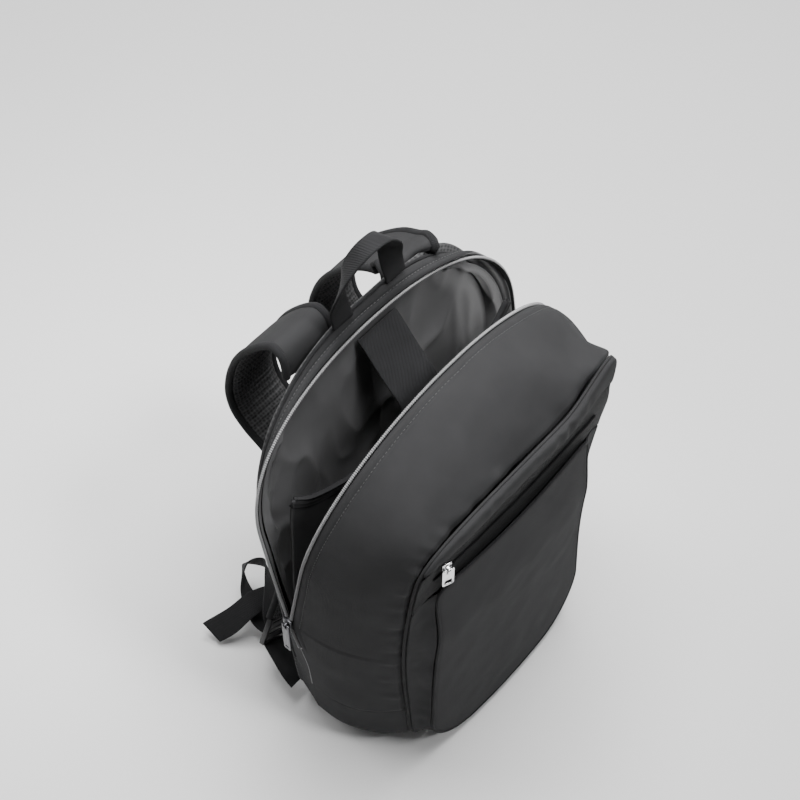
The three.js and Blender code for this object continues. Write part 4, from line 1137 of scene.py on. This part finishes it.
# rise as a share of the height, reach of the strap's reach, spread of the width
STRAP_RUN = [
    (0.935, 0.108, 0), (0.975, 0.1, 0), (0.998, 0.15, 0), (1.007, 0.25, 0), (0.99, 0.42, 0),
    (0.958, 0.62, 0), (0.91, 0.86, 0), (0.86, 1.04, 0), (0.8, 1.18, 0), (0.75, 1.24, 0),
    (0.705, 1.2, 0), (0.672, 1.04, 0), (0.635, 0.76, 0), (0.58, 0.62, 0), (0.52, 0.57, 0.003),
    (0.43, 0.55, 0.012), (0.34, 0.55, 0.04), (0.25, 0.56, 0.1), (0.17, 0.58, 0.165),
]
# side, reach, drop, aside
STRAPS = {"left": (-1, 1, 0.006, 0), "right": (1, 1.26, 0.052, 0.018)}


def strap_path(side, reach, drop, aside):
    """A strap's middle line, the way its width runs and its width."""
    rows = []
    for i, (rise, out, spread) in enumerate(STRAP_RUN):
        loose = float(smooth((i - 1) / 2) * (1 - smooth((i - 10) / 4)))
        z = (rise - drop * loose) * mm("height")
        behind = back_depth(z) + 3 + mix(out, out * reach, loose) * mm("strap_reach")
        tilt = side * 0.45 * float(smooth((i - 14) / 4))
        norm = math.hypot(1, tilt)
        width = mix(mm("strap"), mm("strap_end"), float(smooth((i - 11) / 5)))
        rows.append([side * (59 + (spread + aside * loose) * mm("width")), behind, z, 1 / norm, 0,
                     tilt / norm, width])
    run = curve_through(rows, 900)
    path, back_rows = even_path(run[:, :3], 1.8)
    across = sampled(run[:, 3:6], back_rows)
    width = np.interp(back_rows, np.arange(len(run)), run[:, 6])
    return path, across, width, back_rows / len(run)


def laid_on(path, side, face, across, rise):
    """Points beside and above a path: rows along it, columns across it."""
    beside = path[:, None] + side[:, None] * across[..., None]
    return beside + face[:, None] * rise[..., None]


class BACKPACK_OT_straps(bpy.types.Operator):
    """Shoulder straps: padded cloth, mesh underside and bound edges"""

    bl_idname = "backpack.straps"
    bl_label = "Shoulder straps"

    def execute(self, context):
        for name, lay in STRAPS.items():
            path, across, width, part = strap_path(*lay)
            _, side, face = frames_along(path, across)
            turned = np.sign(np.sum(face[:20, 1])) or 1
            face = -face * turned
            u = np.linspace(-1, 1, 41)[None, :]
            crown = 2.6 * (1 - np.abs(u) ** 4)
            lumps = 0.35 * soft_noise(path[:, None] + side[:, None] * (u * 30)[..., None], 17, 101)
            half = (width / 2 - 1.0)[:, None]
            top = crown + lumps * (1 - np.abs(u) ** 3) - 0.4
            outer = laid_on(path, side, face, u * half, top)
            under = laid_on(path, side, face, u * half, np.full_like(top, -1.9))
            rings = np.concatenate([outer, under[:, ::-1]], 1)
            made = closed_body(f"strap_{name}_cloth", rings, [FINISH["shell"]])
            place_piece(made, [f"strap_{name}"])
            first = int(np.argmax(part > 0.14))
            v = np.linspace(-1, 1, 31)[None, :]
            inner_half = (width / 2 - 4.5)[:, None]
            ribs = 0.9 * np.cos(np.arange(len(path)) * 1.8 / 7.2 * 2 * np.pi)[:, None]
            drop = 2.2 + 3.6 * (1 - np.abs(v) ** 5) + ribs * (1 - np.abs(v) ** 8)
            low = laid_on(path, side, face, v * inner_half, -drop)
            lid = laid_on(path, side, face, v * inner_half, np.full_like(drop, -2.1))
            rings = np.concatenate([low, lid[:, ::-1]], 1)[first:]
            made = closed_body(f"strap_mesh_{name}_cloth", rings, [FINISH["mesh"]])
            place_piece(made, [f"strap_mesh_{name}"])
            for edge in (-1, 1):
                line = path + side * (edge * (width / 2 - 3.0))[:, None] - face * 0.3
                section = flat_section(7.5, 6.0, 6)
                label = f"strap_binding_{name}_{'a' if edge < 0 else 'b'}"
                made = swept(label, line, side, section, [FINISH["binding"]])
                place_piece(made)
        return {"FINISHED"}


# The webbing's free end: out of the width, back of the depth, up of the height, then the turn
TAIL_RUN = [
    (0.27, 1.34, 0.13, 0.6, -0.2, 0.7), (0.232, 1.53, 0.105, 0.1, -0.25, 0.95),
    (0.262, 1.65, 0.095, 0.2, -0.45, 0.8), (0.306, 1.57, 0.092, 0.75, -0.6, 0.35),
    (0.335, 1.42, 0.075, 0.85, -0.5, 0.1), (0.34, 1.22, 0.045, 0.95, -0.3, 0),
    (0.31, 1.08, 0.026, 0.5, -0.85, 0), (0.262, 1.11, 0.05, -0.5, -0.8, 0.3),
    (0.285, 1.22, 0.1, -0.75, -0.1, 0.65), (0.345, 1.32, 0.098, -0.5, 0.55, 0.65),
    (0.41, 1.42, 0.055, -0.3, 0.75, 0.55), (0.465, 1.52, 0.028, 0, 0.88, 0.45),
]


def lock_frame(name):
    """Where a strap ends, and the way its adjuster turns there."""
    path, across, width, _ = strap_path(*STRAPS[name])
    down = unit(path[-1] - path[-6])
    side = unit(across[-1] - down * np.dot(down, across[-1]))
    out = unit(np.cross(side, down))
    skew = abs(float(np.dot(unit(across[-1]), down))) * width[-1] / 2
    return path[-1] + down * (0.3 + skew), down, side, out


class BACKPACK_OT_webbing(bpy.types.Operator):
    """Adjusting webbing and the grab handle"""

    bl_idname = "backpack.webbing"
    bl_label = "Webbing"

    def execute(self, context):
        for name, (side_sign, _, _, _) in STRAPS.items():
            at, down, side, out = lock_frame(name)
            root = at + down * 15 + out * 3.6
            rise = root - down * 10 + out * 7.5
            turn = side * np.sign(side[0]) * side_sign
            rows = [[*root, *turn], [*rise, *turn]]
            for far, back, up, tx, ty, tz in TAIL_RUN:
                spot = [side_sign * far * mm("width"), back * mm("depth"), up * mm("height")]
                rows.append([*spot, *unit(np.array([side_sign * tx, ty, tz]))])
            run = curve_through(rows, 900)
            path, back_rows = even_path(run[:, :3], 1.2)
            across = unit(sampled(run[:, 3:6], back_rows))
            made = skewed_strip(f"tail_web_{name}_webbing", path, across, mm("webbing"), 1.6)
            place_piece(made, [f"tail_web_{name}"])
        handle_webbing()
        return {"FINISHED"}


def skewed_strip(name, path, across, width, thickness):
    """A flat strip whose width follows the given direction even where it isn't square to it."""
    ahead = unit(np.gradient(path, axis=0))
    face = unit(np.cross(ahead, across))
    section = flat_section(width, thickness, 16)
    rings = path[:, None] + across[:, None] * section[None, :, :1] + face[:, None] * section[None, :, 1:]
    return closed_body(name, rings, [FINISH["webbing"]])


# across of half the span, rise and lean of the rise, turn in degrees
HANDLE_RUN = [
    (-1, 0, 0, 0), (-1.08, 0.24, 0.02, 8), (-1.14, 0.52, -0.03, 30), (-1, 0.79, -0.08, 58),
    (-0.62, 0.97, -0.14, 80), (-0.22, 1, -0.16, 90), (0.1, 0.93, -0.14, 100),
    (0.4, 0.76, -0.1, 122), (0.7, 0.5, -0.03, 150), (0.9, 0.24, 0.02, 172), (1, 0, 0, 180),
]


def handle_webbing():
    """The grab handle: flat feet that turn a quarter on the way up."""
    high = np.array(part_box("grab_handle")[1]) * 1000
    seat = rear_band(np.array([5.75]), np.array([0.15]))[0]
    rows = []
    for across, rise, lean, turn in HANDLE_RUN:
        angle = math.radians(turn)
        width = mix(mm("handle"), mm("handle") * 0.72, math.sin(angle) ** 2)
        rows.append([across * 31.5 + 1.5, seat[1] + lean * 86, high[2] - 87.1 + rise * 86,
                     math.cos(angle), math.sin(angle), 0, width])
    run = curve_through(rows, 700)
    path, back_rows = even_path(run[:, :3], 1.2)
    across = unit(sampled(run[:, 3:6], back_rows))
    width = np.interp(back_rows, np.arange(len(run)), run[:, 6])
    ahead = unit(np.gradient(path, axis=0))
    face = unit(np.cross(ahead, across))
    section = flat_section(1.0, 0.09, 16)
    rings = path[:, None] + across[:, None] * section[None, :, :1] * width[:, None, None]
    rings = rings + face[:, None] * section[None, :, 1:] * 24.4
    made = closed_body("handle_webbing", rings, [FINISH["webbing"]])
    place_piece(made, ["grab_handle"])


class BACKPACK_OT_hardware(bpy.types.Operator):
    """Sliders, pulls and adjusters with softened edges"""

    bl_idname = "backpack.hardware"
    bl_label = "Hardware"

    def execute(self, context):
        pieces = [
            ("main_slider_left", "bag", "gunmetal"), ("main_slider_right", "bag", "gunmetal"),
            ("main_pull_left", "pull_left", "gunmetal"), ("main_pull_right", "pull_right", "gunmetal"),
            ("pocket_slider", "bag", "silver"), ("pocket_pull", "pull_pocket", "silver"),
            ("ladder_lock_left", "bag", "plastic"), ("ladder_lock_right", "bag", "plastic"),
            ("lower_web_left", "bag", "webbing"), ("lower_web_right", "bag", "webbing"),
        ]
        for node, body, finish in pieces:
            bevelled_copy(node, body, finish)
        return {"FINISHED"}


def bevelled_copy(node, body, finish):
    """A solid's own shape with merged points and rounded edges."""
    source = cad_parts[node]
    made = bpy.data.objects.new(f"{node}_finished", source.data.copy())
    made.data.transform(source.matrix_world)
    bpy.context.scene.collection.objects.link(made)
    bpy.context.view_layer.objects.active = made
    for other in bpy.context.selected_objects:
        other.select_set(False)
    made.select_set(True)
    bpy.ops.object.mode_set(mode="EDIT")
    bpy.ops.mesh.select_all(action="SELECT")
    bpy.ops.mesh.remove_doubles(threshold=0.00001)
    bpy.ops.mesh.tris_convert_to_quads()
    bpy.ops.object.mode_set(mode="OBJECT")
    if node == "pocket_pull":
        widen_window(made)
    made.data.materials.clear()
    made.data.materials.append(FINISH[finish])
    if finish != "webbing":
        bevel = made.modifiers.new("soft_edges", "BEVEL")
        bevel.width = 0.00035
        bevel.segments = 2
        bevel.limit_method = "ANGLE"
    made.data.shade_smooth()
    return place_piece(made, [node], body)


def widen_window(made):
    """Widens the slot at the free end of the pocket's pull: its corners move out along the hinge
    and along the pull."""
    count = len(made.data.vertices)
    flat = np.empty(count * 3, np.float32)
    made.data.vertices.foreach_get("co", flat)
    points = flat.reshape(-1, 3).astype(float) * 1000
    turn = math.radians(PULL_TURN)
    along = np.array([-math.cos(turn), math.sin(turn), 0.0])
    across = points @ along
    across = across - (across.max() + across.min()) / 2
    rise = points[:, 2] - points[:, 2].min()
    slot = (np.abs(np.abs(across) - SLOT_HALF) < 0.2) & (rise < 0.4 * rise.max())
    if slot.sum() != 8:
        raise RuntimeError(f"expected the slot's 8 corners, found {slot.sum()}")
    centre = points[slot].mean(0)
    spread = points[slot] - centre
    sideways = np.outer(spread @ along, along)
    upright = spread * np.array([0.0, 0.0, 1.0])
    points[slot] += sideways * (SLOT_WIDER - 1) + upright * (SLOT_HIGHER - 1)
    made.data.vertices.foreach_set("co", (points / 1000).astype(np.float32).ravel())
    made.data.update()


class BACKPACK_OT_stage(bpy.types.Operator):
    """Floor, lights and camera"""

    bl_idname = "backpack.stage"
    bl_label = "Stage"

    def execute(self, context):
        floor_material, nodes, links, shader = new_material("floor_paper", (0.82, 0.82, 0.82), 0.8)
        grain = texture(nodes, links, "ShaderNodeTexNoise", "object", 3, detail=2)
        tinted(nodes, links, shader, grain.outputs["Fac"], (0.82, 0.82, 0.82), 0.98, 1.02)
        span = np.linspace(-1, 1, 3) * 6000
        points = stack(span[None, :], span[:, None], 0).reshape(-1, 3)
        faces, flat = grid_faces(3, 3)
        floor = make_object("floor", points, faces, points[:, :2][flat.ravel()], [floor_material])
        lights = [
            ("top_softbox", (0.3, 0.1, 1.9), (0, 0, 0.3), 1.2, 76),
            ("rear_softbox", (-0.6, 1.6, 1.5), (0, 0, 0.35), 1.0, 14),
        ]
        for name, at, target, size, power in lights:
            lamp = bpy.data.lights.new(name, "AREA")
            lamp.shape = "SQUARE"
            lamp.size = size
            lamp.energy = power
            holder = bpy.data.objects.new(name, lamp)
            holder.location = at
            holder.rotation_euler = (Vector(target) - Vector(at)).to_track_quat("-Z", "Y").to_euler()
            context.scene.collection.objects.link(holder)
        spot = bpy.data.lights.new("mouth_spot", "SPOT")
        spot.energy = 300
        spot.spot_size = math.radians(17)
        spot.spot_blend = 1
        spot.shadow_soft_size = 0.38
        holder = bpy.data.objects.new("mouth_spot", spot)
        holder.location = (0.25, -0.85, 1.75)
        aim = Vector((0.02, 0.07, 0.42)) - holder.location
        holder.rotation_euler = aim.to_track_quat("-Z", "Y").to_euler()
        context.scene.collection.objects.link(holder)
        world = bpy.data.worlds.new("studio")
        world.use_nodes = True
        world.node_tree.nodes["Background"].inputs["Color"].default_value = (1, 1, 1, 1)
        world.node_tree.nodes["Background"].inputs["Strength"].default_value = 0.15
        context.scene.world = world
        turn, lift, distance = math.radians(-49.3), math.radians(53.9), 1.380026
        target = Vector((-0.0181, 0.045, 0.36668))
        right = Vector((math.cos(turn), math.sin(turn), 0))
        back = Vector((math.sin(turn) * math.cos(lift), -math.cos(turn) * math.cos(lift), math.sin(lift)))
        up = back.cross(right)
        camera = bpy.data.cameras.new("camera")
        camera.sensor_width = 36
        camera.lens = 76.86
        camera.clip_start = 0.05
        camera.clip_end = 50
        holder = bpy.data.objects.new("camera", camera)
        place = Matrix((right, up, back)).transposed().to_4x4()
        place.translation = target + back * distance
        holder.matrix_world = place
        context.scene.collection.objects.link(holder)
        context.scene.camera = holder
        return {"FINISHED"}


class BACKPACK_PT_panel(bpy.types.Panel):
    """The backpack's pieces, sizes and colours"""

    bl_label = "Laptop backpack"
    bl_idname = "BACKPACK_PT_panel"
    bl_space_type = "VIEW_3D"
    bl_region_type = "UI"
    bl_category = "Backpack"

    def draw(self, context):
        for operator in OPERATORS:
            self.layout.operator(operator.bl_idname)
        for group in (context.scene.backpack_sizes, context.scene.backpack_colours):
            column = self.layout.column()
            for key in group.__annotations__:
                column.prop(group, key)


OPERATORS = (
    BACKPACK_OT_shell, BACKPACK_OT_inside, BACKPACK_OT_zippers, BACKPACK_OT_pocket,
    BACKPACK_OT_straps, BACKPACK_OT_webbing, BACKPACK_OT_hardware, BACKPACK_OT_stage,
)
CLASSES = (BackpackSizes, BackpackColours, *OPERATORS, BACKPACK_PT_panel)


def register():
    for each in CLASSES:
        bpy.utils.register_class(each)
    bpy.types.Scene.backpack_sizes = bpy.props.PointerProperty(type=BackpackSizes)
    bpy.types.Scene.backpack_colours = bpy.props.PointerProperty(type=BackpackColours)


def unregister():
    del bpy.types.Scene.backpack_sizes
    del bpy.types.Scene.backpack_colours
    for each in reversed(CLASSES):
        bpy.utils.unregister_class(each)


def main():
    register()
    make_finishes()
    for operator in OPERATORS:
        group, name = operator.bl_idname.split(".")
        getattr(getattr(bpy.ops, group), name)()


if __name__ == "__main__":
    main()
